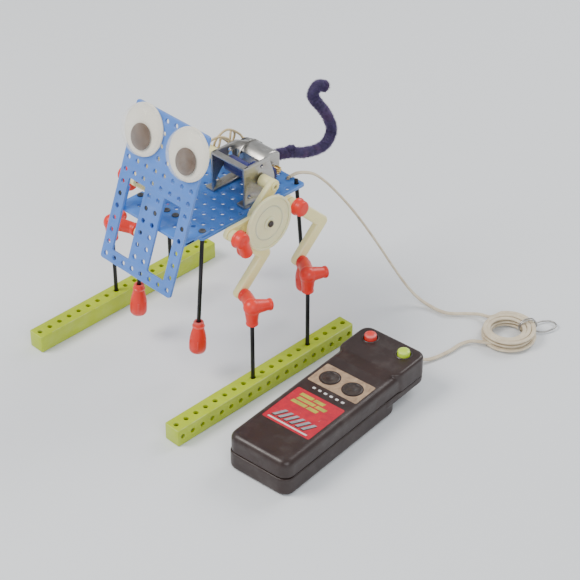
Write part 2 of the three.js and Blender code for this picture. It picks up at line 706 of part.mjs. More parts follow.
place("remote_top", remoteTop(), BROWN, handControl);
place("remote_bottom", remoteBottom(), BROWN, handControl);
place("battery_cover", block(...coverOpening(0), 0, WALL), BROWN, handControl);
place("batteries", batteries(), STEEL, handControl);
place("button_red", button(), RED, handControl, [-BUTTON.x, BUTTON.y, 0]);
place("button_green", button(), GREEN, handControl, [BUTTON.x, BUTTON.y, 0]);

place("cord_to_coil", tube(CORD_TO_COIL, CORD_R, 36), CORD);
place("cord_coil", coil(), CORD);
place("cord_to_remote", tube(CORD_TO_REMOTE, CORD_R, 14), CORD);
place("twist_tie", twistTie(), STEEL);

// The origin is on the table, below the middle of the robot and its hand control without the cord.
const onTheCord = ["cord_to_coil", "cord_coil", "cord_to_remote", "twist_tie"];
const box = new THREE.Box3();
robot.updateMatrixWorld(true);
robot.traverse((piece) => {
  if (piece.isMesh && !onTheCord.includes(piece.name)) {
    box.expandByObject(piece, true);
  }
});
const middle = box.getCenter(new THREE.Vector3());
robot.position.set(-middle.x, -middle.y, -box.min.z);

export default robot;
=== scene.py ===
"""Walking robot of a perforated-plate kit and its wired hand control: the looks around the frame.

Shapes are drawn in millimetres in the robot's own frame, as in part.mjs: X towards the robot's
left, Y towards its tail, Z up, with the origin on the table midway between the two rails.
"""
import math
import random

import bmesh
import bpy
from mathutils import Matrix, Vector
from mathutils.geometry import tessellate_polygon


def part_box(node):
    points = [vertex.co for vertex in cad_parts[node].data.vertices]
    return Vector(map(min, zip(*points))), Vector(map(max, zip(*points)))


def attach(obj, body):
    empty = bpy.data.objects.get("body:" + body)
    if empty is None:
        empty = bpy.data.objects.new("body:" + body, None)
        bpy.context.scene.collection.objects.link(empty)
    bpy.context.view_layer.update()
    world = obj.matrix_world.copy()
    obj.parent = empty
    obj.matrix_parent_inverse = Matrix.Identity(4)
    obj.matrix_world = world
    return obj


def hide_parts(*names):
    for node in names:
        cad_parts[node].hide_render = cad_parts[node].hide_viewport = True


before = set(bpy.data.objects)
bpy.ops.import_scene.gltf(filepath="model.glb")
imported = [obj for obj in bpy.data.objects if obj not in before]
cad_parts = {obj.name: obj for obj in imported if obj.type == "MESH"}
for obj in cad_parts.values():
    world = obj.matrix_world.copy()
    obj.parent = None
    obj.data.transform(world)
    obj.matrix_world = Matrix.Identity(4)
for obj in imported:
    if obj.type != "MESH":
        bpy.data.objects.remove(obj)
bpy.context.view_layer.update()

# ---------------------------------------------------------------- the robot's own frame
PITCH = 8
RAIL = {"x": 65, "holes": 19, "size": 12, "wall": 1.8, "top": 2}
ROD_HOLES = (8, 14)
BODY = {"width": 64, "front": -17, "rear": 71, "top": 104, "thick": 2}
HEAD = {"width": 64, "height": 104, "thick": 2, "y": -45, "z": 74, "lean": 20.7}
NECK = {"front": -30.2, "half": 31, "centre_half": 7.4, "ear_inner": 24.4, "rear": -9,
        "thick": 2, "reach": 16}
EYE = {"x": 20, "up": 88.6, "r": 16.5, "drop": 4.5}
AXLE = {"y": 36.8, "z": 120.3, "r": 1.25, "half": 39.2}
PIN = {"y": 21, "z": 106.5, "r": 1.6, "end": 52.4}
ARM = {"inner": 35.5, "outer": 39.5, "half": 4.2, "hub_r": 4}
DISC = {"inner": 49.4, "outer": 51.6, "r": 18.2}
BAR = {"inner": 40.5, "outer": 43.5, "half": 4}
LEG = {"inner": 43.8, "outer": 48.8, "half": 3.9}
HIP = {"reach": 25, "r": 5.8, "inner": 49.1, "outer": 55.6, "spur": (4, -11.4), "spur_r": 3.8}
KNEE_STEP = (24.5, -23.5)
ANKLE_STEP = (-21, -19.5)
FOOT = {"z": 66, "socket": 53, "rod_top": 61.7}
BOX = {"near": 27.3, "far": -2.3, "wall": 1.5, "front": 22.8, "rear": 66, "near_rear": 48.6,
       "low": 105.4, "high": 133}
GEAR = {"module": 0.5, "tip": 0.35, "root": 0.65, "big": 32, "small": 8}
LAY_ANGLE = -31
MOTOR_ANGLE = 11
MOTOR = {"r": 10, "flat": 7.6, "front": 18, "rear": -6, "cap_rear": -10.5}
FINAL_FACE = (18.4, 21.2)
FIRST_FACE = (21.6, 24.8)
POST = {"x": 28, "y": (-13, 67), "top": 107, "tip_top": 41, "tip_bottom": 19, "lean": 5}
ROD_R = 1.3
TAIL_R = 3.6
REMOTE = {"x": 119.9, "y": 5.75, "turn": 5.14, "half": 23.5, "front": -71, "rear": 64, "split": 12.5,
          "top": 25, "wall": 2}
REMOTE_HEAD = {"start": 33, "top": 26.5, "under": 7}
BUTTON = {"x": 13, "y": 54, "r": 4, "top": 30.4}
DIAL = {"x": 8.7, "y": 8.6}
COIL = {"x": 141, "y": 148}
CORD_WIDTH = 2.8
CORD_THICK = 1.6

HOLE_R = 1.6
BORE_R = 1.55
CAMERA = {"azimuth": 48.9, "height": 37.5, "away": 1.2, "lens": 115, "aim": (0.0531, 0.0363, 0.05)}

near_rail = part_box("rail_left")
far_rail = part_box("rail_right")
origin = (near_rail[0] + near_rail[1] + far_rail[0] + far_rail[1]) / 4
origin.z = 0
ROBOT = Matrix.Translation(origin) @ Matrix.Scale(0.001, 4)
FACE = (ROBOT @ Matrix.Translation((0, HEAD["y"], HEAD["z"]))
        @ Matrix.Rotation(math.radians(90 - HEAD["lean"]), 4, "X"))
CONTROL = (ROBOT @ Matrix.Translation((REMOTE["x"], REMOTE["y"], 0))
           @ Matrix.Rotation(math.radians(REMOTE["turn"]), 4, "Z"))
# Turns a shape drawn in (Y, Z) so that its thickness runs along X.
ACROSS = Matrix(((0, 0, 1, 0), (1, 0, 0, 0), (0, 1, 0, 0), (0, 0, 0, 1)))
SIDES = ((1, "left"), (-1, "right"))


def polar(start, distance, angle):
    turn = math.radians(angle)
    return start[0] + distance * math.cos(turn), start[1] + distance * math.sin(turn)


AXLE_AT = (AXLE["y"], AXLE["z"])
CENTRES = GEAR["module"] * (GEAR["big"] + GEAR["small"]) / 2
LAY_AT = polar(AXLE_AT, CENTRES, LAY_ANGLE)
MOTOR_AT = polar(LAY_AT, CENTRES, MOTOR_ANGLE)
TAG_X = MOTOR["cap_rear"] - 1.0
TERMINALS = [(MOTOR_AT[0] - 4.6, MOTOR_AT[1] + 3), (MOTOR_AT[0] + 4.6, MOTOR_AT[1] + 3)]


# ---------------------------------------------------------------- camera, floor and lights
def linked(name, data):
    made = bpy.data.objects.new(name, data)
    bpy.context.scene.collection.objects.link(made)
    return made


def aimed(name, data, place, aim):
    made = linked(name, data)
    made.location = place
    made.rotation_mode = "QUATERNION"
    made.rotation_quaternion = (aim - place).to_track_quat("-Z", "Y")
    return made


def camera():
    azimuth = math.radians(CAMERA["azimuth"])
    height = math.radians(CAMERA["height"])
    away = Vector((math.sin(azimuth) * math.cos(height), -math.cos(azimuth) * math.cos(height),
                   math.sin(height)))
    data = bpy.data.cameras.new("camera")
    data.sensor_width = 36
    data.lens = CAMERA["lens"]
    made = aimed("camera", data, origin + away * CAMERA["away"], origin + Vector(CAMERA["aim"]))
    bpy.context.scene.camera = made


def area_light(name, place, aim, size, power, colour):
    data = bpy.data.lights.new(name, "AREA")
    data.shape = "DISK"
    data.size = size
    data.energy = power
    data.color = colour
    aimed(name, data, Vector(place), Vector(aim))


def surroundings():
    world = bpy.data.worlds.new("studio")
    world.use_nodes = True
    back = world.node_tree.nodes["Background"]
    back.inputs["Color"].default_value = (0.93, 0.96, 1.0, 1)
    back.inputs["Strength"].default_value = 0.62
    bpy.context.scene.world = world
    area_light("key", (-0.55, -0.75, 1.15), (0, 0, 0.05), 0.7, 17, (1.0, 0.97, 0.93))
    area_light("fill", (1.1, -0.5, 0.8), (0.05, 0, 0.05), 0.9, 7, (0.95, 0.98, 1.0))
    area_light("rear", (0.1, 1.1, 0.9), (0, 0, 0.08), 0.8, 9, (1.0, 1.0, 1.0))
    mesh = bpy.data.meshes.new("floor")
    mesh.from_pydata([(-4, -4, 0), (4, -4, 0), (4, 4, 0), (-4, 4, 0)], [], [(0, 1, 2, 3)])
    floor = linked("floor", mesh)
    floor.location.z = -0.0002
    material = bpy.data.materials.new("studio_floor")
    material.use_nodes = True
    shader = material.node_tree.nodes["Principled BSDF"]
    shader.inputs["Base Color"].default_value = (0.80, 0.82, 0.84, 1)
    shader.inputs["Roughness"].default_value = 0.75
    mesh.materials.append(material)


def shifted(x, y, z):
    return Matrix.Translation((x, y, z))


# ---------------------------------------------------------------- loops of points
def circle(x, y, radius, count=16, clockwise=False):
    sign = -1 if clockwise else 1
    turns = [sign * 2 * math.pi * i / count for i in range(count)]
    return [(x + radius * math.cos(t), y + radius * math.sin(t)) for t in turns]


def hole(x, y, radius, count=16):
    return circle(x, y, radius, count, clockwise=True)


def rectangle(x0, x1, y0, y1, corner, steps=4):
    loop = []
    corners = ((x1 - corner, y0 + corner, -90), (x1 - corner, y1 - corner, 0),
               (x0 + corner, y1 - corner, 90), (x0 + corner, y0 + corner, 180))
    for x, y, start in corners:
        loop += [polar((x, y), corner, start + 90 * i / steps) for i in range(steps + 1)]
    return loop


def stadium(start, end, half, steps=10):
    heading = math.degrees(math.atan2(end[1] - start[1], end[0] - start[0]))
    loop = [polar(end, half, heading - 90 + 180 * i / steps) for i in range(steps + 1)]
    loop += [polar(start, half, heading + 90 + 180 * i / steps) for i in range(steps + 1)]
    return loop


def bent_bar(hip, knee, ankle, half, steps=8):
    """A bar bent at the knee: round at both ends and outside the knee, mitred inside it."""
    upper = math.degrees(math.atan2(knee[1] - hip[1], knee[0] - hip[0]))
    lower = math.degrees(math.atan2(ankle[1] - knee[1], ankle[0] - knee[0]))
    turn = (lower - upper + 180) % 360 - 180
    loop = [polar(hip, half, upper + 90 + 180 * i / steps) for i in range(steps + 1)]
    if turn < 0:
        loop.append(polar(knee, half / math.cos(math.radians(turn / 2)), upper - 90 + turn / 2))
    loop += [polar(ankle, half, lower - 90 + 180 * i / steps) for i in range(steps + 1)]
    loop += [polar(knee, half, lower + 90 + (-turn) * i / steps) for i in range(steps + 1)]
    return loop


def inset_loop(loop, distance):
    """Moves a loop to its left, so an anticlockwise outline shrinks and a clockwise hole grows."""
    moved = []
    count = len(loop)
    for i in range(count):
        here = Vector(loop[i]).to_2d()
        before = here - Vector(loop[i - 1]).to_2d()
        after = Vector(loop[(i + 1) % count]).to_2d() - here
        if before.length < 1e-6 or after.length < 1e-6:
            before = after = before if before.length > after.length else after
        left_before = Vector((-before.y, before.x)).normalized()
        left_after = Vector((-after.y, after.x)).normalized()
        middle = (left_before + left_after).normalized()
        moved.append(here + middle * distance / max(middle.dot(left_before), 0.5))
    return moved


def tidy_loop(loop):
    kept = []
    for point in loop:
        if not kept or (Vector(point) - Vector(kept[-1])).length > 1e-4:
            kept.append(point)
    if (Vector(kept[0]) - Vector(kept[-1])).length <= 1e-4:
        kept.pop()
    return kept


# ---------------------------------------------------------------- solids made of rings
def tube_faces(rings, sides, first=0, closed=False):
    """The faces between rings of points that follow one another, from point number first."""
    faces = []
    for i in range(rings if closed else rings - 1):
        low, high = first + i * sides, first + (i + 1) % rings * sides
        for k in range(sides):
            j = (k + 1) % sides
            faces.append([low + k, low + j, high + j, high + k])
    return faces


class Shape:
    """Points and faces in millimetres, with a weight for every point that pales it: partly edge wear,
    partly a painted highlight.
    """

    def __init__(self):
        self.points = []
        self.faces = []
        self.wear_and_highlight = []

    def add(self, points, faces, wear_and_highlight, place=Matrix()):
        start = len(self.points)
        self.points += [place @ Vector(p) for p in points]
        self.faces += [[start + i for i in face] for face in faces]
        self.wear_and_highlight += wear_and_highlight
        return self

    def slab(self, loops, levels, place=Matrix()):
        """Stacks each loop at every level (inset, height, weight for edge wear and painted highlight), and
        caps both ends.
        """
        loops = [tidy_loop(loop) for loop in loops]
        points, faces, wear_and_highlight = [], [], []
        ends = ([], [])
        for loop in loops:
            count = len(loop)
            first = len(points)
            for inset, height, wear_and_highlight_weight in levels:
                ring = inset_loop(loop, inset) if inset else [Vector(p).to_2d() for p in loop]
                points += [(p.x, p.y, height) for p in ring]
                wear_and_highlight += [wear_and_highlight_weight] * count
            faces += tube_faces(len(levels), count, first)
            last = first + (len(levels) - 1) * count
            ends[0].append(list(range(first, first + count)))
            ends[1].append(list(range(last, last + count)))
        for end, rings in enumerate(ends):
            order = [i for ring in rings for i in ring]
            flat = [[Vector((points[i][0], points[i][1], 0)) for i in ring] for ring in rings]
            for triangle in tessellate_polygon(flat):
                a, b, c = (Vector(points[order[i]]).to_2d() for i in triangle)
                upward = (b - a).cross(c - a) > 0
                face = [order[i] for i in triangle]
                faces.append(face if upward == (end == 1) else face[::-1])
        return self.add(points, faces, wear_and_highlight, place)

    def lathe(self, profile, count=24, place=Matrix()):
        """Turns a profile of (radius, height, weight for edge wear and painted highlight) about Z; a
        radius of 0 closes to a point.
        """
        points, faces, wear_and_highlight = [], [], []
        rings = []
        for radius, height, wear_and_highlight_weight in profile:
            start = len(points)
            if radius == 0:
                points.append((0, 0, height))
                wear_and_highlight.append(wear_and_highlight_weight)
                rings.append([start] * count)
            else:
                points += [(x, y, height) for x, y in circle(0, 0, radius, count)]
                wear_and_highlight += [wear_and_highlight_weight] * count
                rings.append(list(range(start, start + count)))
        for low, high in zip(rings, rings[1:]):
            for i in range(count):
                j = (i + 1) % count
                face = [low[i], low[j], high[j], high[i]]
                faces.append(sorted(set(face), key=face.index))
        return self.add(points, faces, wear_and_highlight, place)

    def pipe(self, route, radius, sides=10, closed=False, taper=None):
        """A round tube along a route, with domed ends unless it is closed."""
        route = [Vector(p) for p in route]
        count = len(route)
        ahead = []
        for i in range(count):
            low = route[i - 1] if closed or i > 0 else route[i]
            high = route[(i + 1) % count] if closed or i < count - 1 else route[i]
            ahead.append((high - low).normalized())
        side = ahead[0].orthogonal().normalized()
        points, wear_and_highlight = [], []
        for i, point in enumerate(route):
            side = (side - ahead[i] * side.dot(ahead[i])).normalized()
            across = ahead[i].cross(side)
            size = radius * (taper(i / (count - 1)) if taper else 1)
            for k in range(sides):
                angle = 2 * math.pi * k / sides
                points.append(point + side * size * math.cos(angle)
                              + across * size * math.sin(angle))
                wear_and_highlight.append(0)
        faces = tube_faces(count, sides, closed=closed)
        if not closed:
            for i, sign in ((0, -1), (count - 1, 1)):
                points.append(route[i] + ahead[i] * sign * radius * 0.35)
                wear_and_highlight.append(0)
                for k in range(sides):
                    j = (k + 1) % sides
                    face = [i * sides + k, i * sides + j, len(points) - 1]
                    faces.append(face if sign > 0 else face[::-1])
        return self.add(points, faces, wear_and_highlight)

    def mesh(self, name, place=Matrix()):
        made = bpy.data.meshes.new(name)
        made.from_pydata(self.points, [], self.faces)
        values = made.attributes.new("wear_and_highlight", "FLOAT", "POINT")
        values.data.foreach_set("value", self.wear_and_highlight)
        tool = bmesh.new()
        tool.from_mesh(made)
        bmesh.ops.recalc_face_normals(tool, faces=tool.faces)
        tool.to_mesh(made)
        tool.free()
        made.transform(place)
        return made


def soft_edges(low, high, edge, steps=2):
    """Levels of a slab with rounded edges, weighted along the round for edge wear and a painted edge
    highlight.
    """
    arc = []
    for i in range(steps + 1):
        angle = math.pi / 2 * i / steps
        # Full weight on the round itself: there the edge is paled as wear and as a painted highlight.
        wear_and_highlight_weight = 1 if 0 < i < steps else 0.25 * (i > 0)
        arc.append((edge * (1 - math.sin(angle)), edge * (1 - math.cos(angle)), wear_and_highlight_weight))
    return ([(inset, low + depth, wear_and_highlight_weight) for inset, depth, wear_and_highlight_weight in arc]
            + [(inset, high - depth, wear_and_highlight_weight) for inset, depth, wear_and_highlight_weight in arc[::-1]])


def turned_to(point, direction):
    """A place at a point, with its Z along a direction."""
    turn = Vector(direction).normalized().to_track_quat("Z", "Y").to_matrix().to_4x4()
    return Matrix.Translation(point) @ turn


def bar_shape(shape, start, end, radius, count=16, edge=0.3, end_radius=None):
    """A round bar between two points, straight or tapered, with chamfered ends."""
    start, end = Vector(start), Vector(end)
    length = (end - start).length
    last = radius if end_radius is None else end_radius
    edge = min(edge, radius * 0.6, last * 0.6, length * 0.4)
    profile = [(0, 0, 0), (radius - edge, 0, 0), (radius - edge * 0.3, edge * 0.3, 1),
               (radius, edge, 0.2), (last, length - edge, 0.2),
               (last - edge * 0.3, length - edge * 0.3, 1), (last - edge, length, 0),
               (0, length, 0)]
    return shape.lathe(profile, count, turned_to(start, end - start))


def catmull(points, per_span):
    """A smooth line through points; the middle of each span gets per_span - 1 more points."""
    points = [Vector(p) for p in points]
    ends = [points[0] * 2 - points[1]] + points + [points[-1] * 2 - points[-2]]
    smooth = []
    for i in range(1, len(ends) - 2):
        p0, p1, p2, p3 = ends[i - 1:i + 3]
        t1 = max((p1 - p0).length, 1e-6) ** 0.5
        t2 = t1 + max((p2 - p1).length, 1e-6) ** 0.5
        t3 = t2 + max((p3 - p2).length, 1e-6) ** 0.5
        for k in range(per_span):
            t = t1 + (t2 - t1) * k / per_span
            a1 = p0 * ((t1 - t) / t1) + p1 * (t / t1)
            a2 = p1 * ((t2 - t) / (t2 - t1)) + p2 * ((t - t1) / (t2 - t1))
            a3 = p2 * ((t3 - t) / (t3 - t2)) + p3 * ((t - t2) / (t3 - t2))
            b1 = a1 * ((t2 - t) / t2) + a2 * (t / t2)
            b2 = a2 * ((t3 - t) / (t3 - t1)) + a3 * ((t - t1) / (t3 - t1))
            smooth.append(b1 * ((t2 - t) / (t2 - t1)) + b2 * ((t - t1) / (t2 - t1)))
    smooth.append(points[-1])
    return smooth


def finish(name, mesh, material, body, stands_for=(), sharp=35):
    """Makes a piece of a mesh, gives it its finish and lets it ride on a body."""
    piece = linked(name, mesh)
    mesh.materials.clear()
    mesh.materials.append(material)
    mesh.polygons.foreach_set("use_smooth", [True] * len(mesh.polygons))
    mesh.set_sharp_from_angle(angle=math.radians(sharp))
    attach(piece, body)
    if stands_for:
        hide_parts(*stands_for)
    return piece


def made_of(name, shape, material, body, stands_for=(), sharp=35, place=ROBOT):
    """The piece that a shape drawn in millimetres makes at its place."""
    return finish(name, shape.mesh(name, place), material, body, stands_for, sharp)


def applied(mesh, *changes):
    """The mesh after a row of modifiers, each given as (kind, {setting: value})."""
    carrier = linked("carrier", mesh)
    for kind, settings in changes:
        modifier = carrier.modifiers.new(kind.lower(), kind)
        for key, value in settings.items():
            setattr(modifier, key, value)
    graph = bpy.context.evaluated_depsgraph_get()
    made = bpy.data.meshes.new_from_object(carrier.evaluated_get(graph))
    bpy.data.objects.remove(carrier)
    return made


def minus(mesh, cutter_mesh):
    cutter = linked("cutter", cutter_mesh)
    made = applied(mesh, ("BOOLEAN", {"object": cutter, "operation": "DIFFERENCE",
                                      "solver": "EXACT", "use_self": True}))
    bpy.data.objects.remove(cutter)
    return made


def moved(mesh, place):
    mesh.transform(place)
    return mesh


# ---------------------------------------------------------------- materials
class Paint:
    """A node material under construction."""

    def __init__(self, name):
        self.material = bpy.data.materials.new(name)
        self.material.use_nodes = True
        self.tree = self.material.node_tree
        self.shader = self.tree.nodes["Principled BSDF"]
        self.place = self.tree.nodes.new("ShaderNodeTexCoord").outputs["Object"]

    def put(self, kind, inputs=None, **settings):
        made = self.tree.nodes.new(kind)
        for key, value in settings.items():
            setattr(made, key, value)
        for key, value in (inputs or {}).items():
            self.feed(made.inputs[key], value)
        return made

    def feed(self, socket, value):
        if isinstance(value, bpy.types.NodeSocket):
            self.tree.links.new(value, socket)
        else:
            socket.default_value = value

    def set(self, **values):
        for key, value in values.items():
            self.feed(self.shader.inputs[key.replace("_", " ")], value)
        return self

    def scaled(self, x, y, z, turn=0.0):
        made = self.put("ShaderNodeMapping", {"Vector": self.place})
        made.inputs["Scale"].default_value = (x, y, z)
        made.inputs["Rotation"].default_value = (0, 0, turn)
        return made.outputs["Vector"]

    def noise(self, scale, detail=3.0, rough=0.5, place=None, distort=0.0):
        made = self.put("ShaderNodeTexNoise", {
            "Vector": place or self.place, "Scale": scale, "Detail": detail, "Roughness": rough,
            "Distortion": distort})
        return made.outputs["Fac"]

    def spread(self, value, low, high, new_low=0.0, new_high=1.0):
        made = self.put("ShaderNodeMapRange", {
            "Value": value, "From Min": low, "From Max": high, "To Min": new_low,
            "To Max": new_high})
        return made.outputs["Result"]

    def mix(self, amount, first, second):
        made = self.put("ShaderNodeMix", {0: amount, 6: first, 7: second}, data_type="RGBA",
                        clamp_factor=True)
        return made.outputs[2]

    def arithmetic(self, operation, first, second):
        made = self.put("ShaderNodeMath", {0: first, 1: second}, operation=operation)
        return made.outputs["Value"]

    def times(self, first, second):
        return self.arithmetic("MULTIPLY", first, second)

    def plus(self, first, second):
        return self.arithmetic("ADD", first, second)

    def attribute(self, name):
        made = self.put("ShaderNodeAttribute")
        made.attribute_name = name
        return made.outputs["Fac"]

    def bump(self, height, strength, distance, normal=None):
        made = self.put("ShaderNodeBump", {
            "Height": height, "Strength": strength, "Distance": distance})
        if normal:
            self.feed(made.inputs["Normal"], normal)
        return made.outputs["Normal"]


def shade(colour, factor):
    return (*(min(c * factor, 1) for c in colour[:3]), 1)


def toned(colour, red=1.0, green=1.0, blue=1.0):
    return (min(colour[0] * red, 1), min(colour[1] * green, 1), min(colour[2] * blue, 1), 1)


def moulded(name, colour, rough=0.4, vary=0.1, wear_and_highlight_weight=0.35, grain=0.25, milky=0.0, dust=0.12):
    """Injection-moulded plastic: flow marks, fine grain, scuffs, dust, and rounded edges paled partly by
    rub wear and partly by a painted highlight.
    """
    paint = Paint(name)
    flow = paint.noise(38, 4, 0.55, distort=0.6)
    fine = paint.noise(650, 3, 0.6)
    base = paint.mix(paint.spread(flow, 0.3, 0.7), shade(colour, 1 - vary), shade(colour, 1 + vary))
    specks = paint.spread(fine, 0.58, 0.78, 0, 0.22)
    base = paint.mix(specks, base, shade(colour, 1.35))
    # Rounded edges are paled in noisy patches: partly rub wear, partly a painted highlight along the edge.
    edge_wear_and_highlight = paint.times(paint.attribute("wear_and_highlight"), paint.spread(paint.noise(140, 3), 0.35, 0.65))
    pale = tuple(c + (1 - c) * 0.45 for c in colour[:3]) + (1,)
    base = paint.mix(paint.times(edge_wear_and_highlight, wear_and_highlight_weight), base, pale)
    film = paint.spread(paint.noise(75, 5, 0.65), 0.5, 0.8, 0, dust)
    base = paint.mix(film, base, (0.62, 0.60, 0.56, 1))
    scratch = paint.noise(260, 2, 0.7, paint.scaled(1, 6, 1, 0.6), 0.4)
    marks = paint.spread(scratch, 0.62, 0.74)
    uneven = paint.spread(paint.noise(120, 4), 0.3, 0.7, rough - 0.07, rough + 0.1)
    paint.set(Base_Color=base, Roughness=paint.plus(uneven, paint.times(marks, 0.12)))
    height = paint.plus(paint.times(paint.noise(2600, 2), 0.5), paint.times(marks, -0.4))
    normal = paint.bump(height, grain, 0.00006)
    paint.set(Normal=paint.bump(flow, 0.12, 0.0004, normal))
    if milky:
        paint.set(Subsurface_Weight=milky)
        paint.shader.inputs["Subsurface Radius"].default_value = (0.004, 0.003, 0.002)
        paint.shader.inputs["Subsurface Scale"].default_value = 0.5
    return paint.material


def metal(name, colour, rough=0.24, stretch=(1, 1, 30), grain=0.35, tarnish=0.25):
    """Plated or bare metal with drawn grain, smudges and a little tarnish."""
    paint = Paint(name)
    drawn = paint.noise(90, 4, 0.7, paint.scaled(*stretch))
    cloud = paint.noise(70, 4, 0.6, distort=0.8)
    base = paint.mix(paint.spread(drawn, 0.3, 0.7), shade(colour, 0.8), shade(colour, 1.12))
    dull = paint.spread(cloud, 0.52, 0.8, 0, tarnish)
    base = paint.mix(dull, base, toned(shade(colour, 0.55), 1.05, 0.98, 0.85))
    # Rounded edges are brightened: partly rub wear, partly a painted highlight along the edge.
    edge_wear_and_highlight = paint.times(paint.attribute("wear_and_highlight"), 0.5)
    base = paint.mix(edge_wear_and_highlight, base, shade(colour, 1.3))
    uneven = paint.plus(paint.spread(drawn, 0.3, 0.7, rough - 0.06, rough + 0.08),
                        paint.spread(cloud, 0.4, 0.8, 0, 0.12))
    paint.set(Base_Color=base, Roughness=uneven, Metallic=1.0)
    paint.set(Normal=paint.bump(drawn, grain, 0.00003))
    return paint.material


def mottled(name, cloud, span, colours, rough, grain, marks=None):
    """Two colours in soft clouds, small marks of a third over them, and a fine grain."""
    paint = Paint(name)
    field = paint.noise(*cloud)
    base = paint.mix(paint.spread(field, *span), *colours)
    if marks:
        noise, reach, colour = marks
        base = paint.mix(paint.spread(paint.noise(*noise), *reach), base, colour)
    paint.set(Base_Color=base, Roughness=paint.spread(field, 0.3, 0.7, *rough))
    fine, strength, depth = grain
    paint.set(Normal=paint.bump(paint.noise(*fine), strength, depth))
    return paint


def blackened(name):
    paint = Paint(name)
    streak = paint.noise(300, 4, 0.6, paint.scaled(1, 1, 0.12))
    base = paint.mix(paint.spread(streak, 0.35, 0.7), (0.008, 0.008, 0.009, 1), (0.03, 0.031, 0.034, 1))
    rub = paint.spread(paint.noise(180, 5, 0.7), 0.62, 0.75, 0, 0.35)
    base = paint.mix(rub, base, (0.12, 0.12, 0.125, 1))
    paint.set(Base_Color=base, Metallic=0.55)
    paint.set(Roughness=paint.spread(streak, 0.3, 0.7, 0.24, 0.42))
    paint.set(Normal=paint.bump(paint.noise(1800, 2), 0.25, 0.00004))
    return paint.material


HEAD_BLUE = moulded("head_blue_plastic", (0.08, 0.215, 0.62), rough=0.38, dust=0.05)
BODY_BLUE = moulded("body_blue_plastic", (0.045, 0.19, 0.60), rough=0.36)
LIME = moulded("lime_plastic", (0.43, 0.54, 0.008), rough=0.38, vary=0.08, dust=0.05)
CREAM = moulded("cream_plastic", (0.93, 0.84, 0.40), rough=0.42, vary=0.05, milky=0.2, dust=0.05)
MILKY = moulded("milky_plastic", (0.84, 0.79, 0.48), rough=0.36, vary=0.06, milky=0.6, wear_and_highlight_weight=0.2, dust=0.05)
RED = moulded("red_plastic", (0.78, 0.026, 0.012), rough=0.36, vary=0.1, milky=0.04, dust=0.04)
GREEN = moulded("green_plastic", (0.50, 0.72, 0.02), rough=0.33)
GEAR_BLUE = moulded("dark_blue_gear_plastic", (0.022, 0.025, 0.15), rough=0.34, wear_and_highlight_weight=0.2)
BROWN = moulded("brown_plastic", (0.026, 0.0125, 0.0105), rough=0.36, vary=0.16, wear_and_highlight_weight=0.1,
                grain=0.5, dust=0.05)
BLACK_PLASTIC = moulded("black_plastic", (0.018, 0.018, 0.02), rough=0.4, wear_and_highlight_weight=0.2, dust=0.15)
STEEL = metal("plated_steel", (0.47, 0.455, 0.43), rough=0.3)
BRASS = metal("brass", (0.72, 0.52, 0.2), rough=0.26)
BLACK_ROD = blackened("blackened_rod")

camera()
surroundings()


# ---------------------------------------------------------------- cord
CORD_TO_COIL = [
    (22, 67.4, 105.9), (23, 73, 106.6), (28, 83, 103.5), (37, 95, 88), (47, 107, 66),
    (56, 118, 42), (64, 127, 21), (73, 133, 7), (83, 136, 2), (97, 138, 1.8), (106, 146, 1.8),
    (114, 151.5, 2.6), (122.4, 152.5, 4.5),
]
CORD_TO_REMOTE = [
    (135, 129, 3.4), (128.8, 126.2, 2.2), (125.6, 119, 1.8), (125.5, 110, 1.8),
    (121.5, 92, 2), (115.6, 81, 7), (114, 70.6, 12.5),
]


def coil_turns(per_turn=16):
    """Just over seven and a half clockwise turns in three layers, about a cord's width apart."""
    lanes = [(16.4, 7.4), (13.6, 7.6), (11.2, 7.0), (12.2, 4.4), (15, 4.5), (17, 2.2), (14.2, 1.9),
             (11.6, 2.0), (17.6, 3.2)]
    start = math.radians(146)
    turns = 7.62
    draw = random.Random(8)
    shift = [(draw.uniform(-0.7, 0.7), draw.uniform(-0.7, 0.7)) for _ in range(len(lanes) + 1)]
    shift.append(shift[-1])
    route = []
    count = round(turns * per_turn)
    for i in range(count + 1):
        lane = i / per_turn
        low = min(int(lane), len(lanes) - 2)
        part = lane - low
        part = max(0, (part - 0.6) / 0.4)
        part = part * part * (3 - 2 * part)
        radius, height = (lanes[low][k] + (lanes[low + 1][k] - lanes[low][k]) * part
                          for k in (0, 1))
        dx, dy = (shift[low][k] + (shift[low + 1][k] - shift[low][k]) * part for k in (0, 1))
        angle = start - 2 * math.pi * i / per_turn
        route.append(Vector((COIL["x"] + dx + radius * math.cos(angle),
                             COIL["y"] + dy + radius * math.sin(angle), height)))
    return route


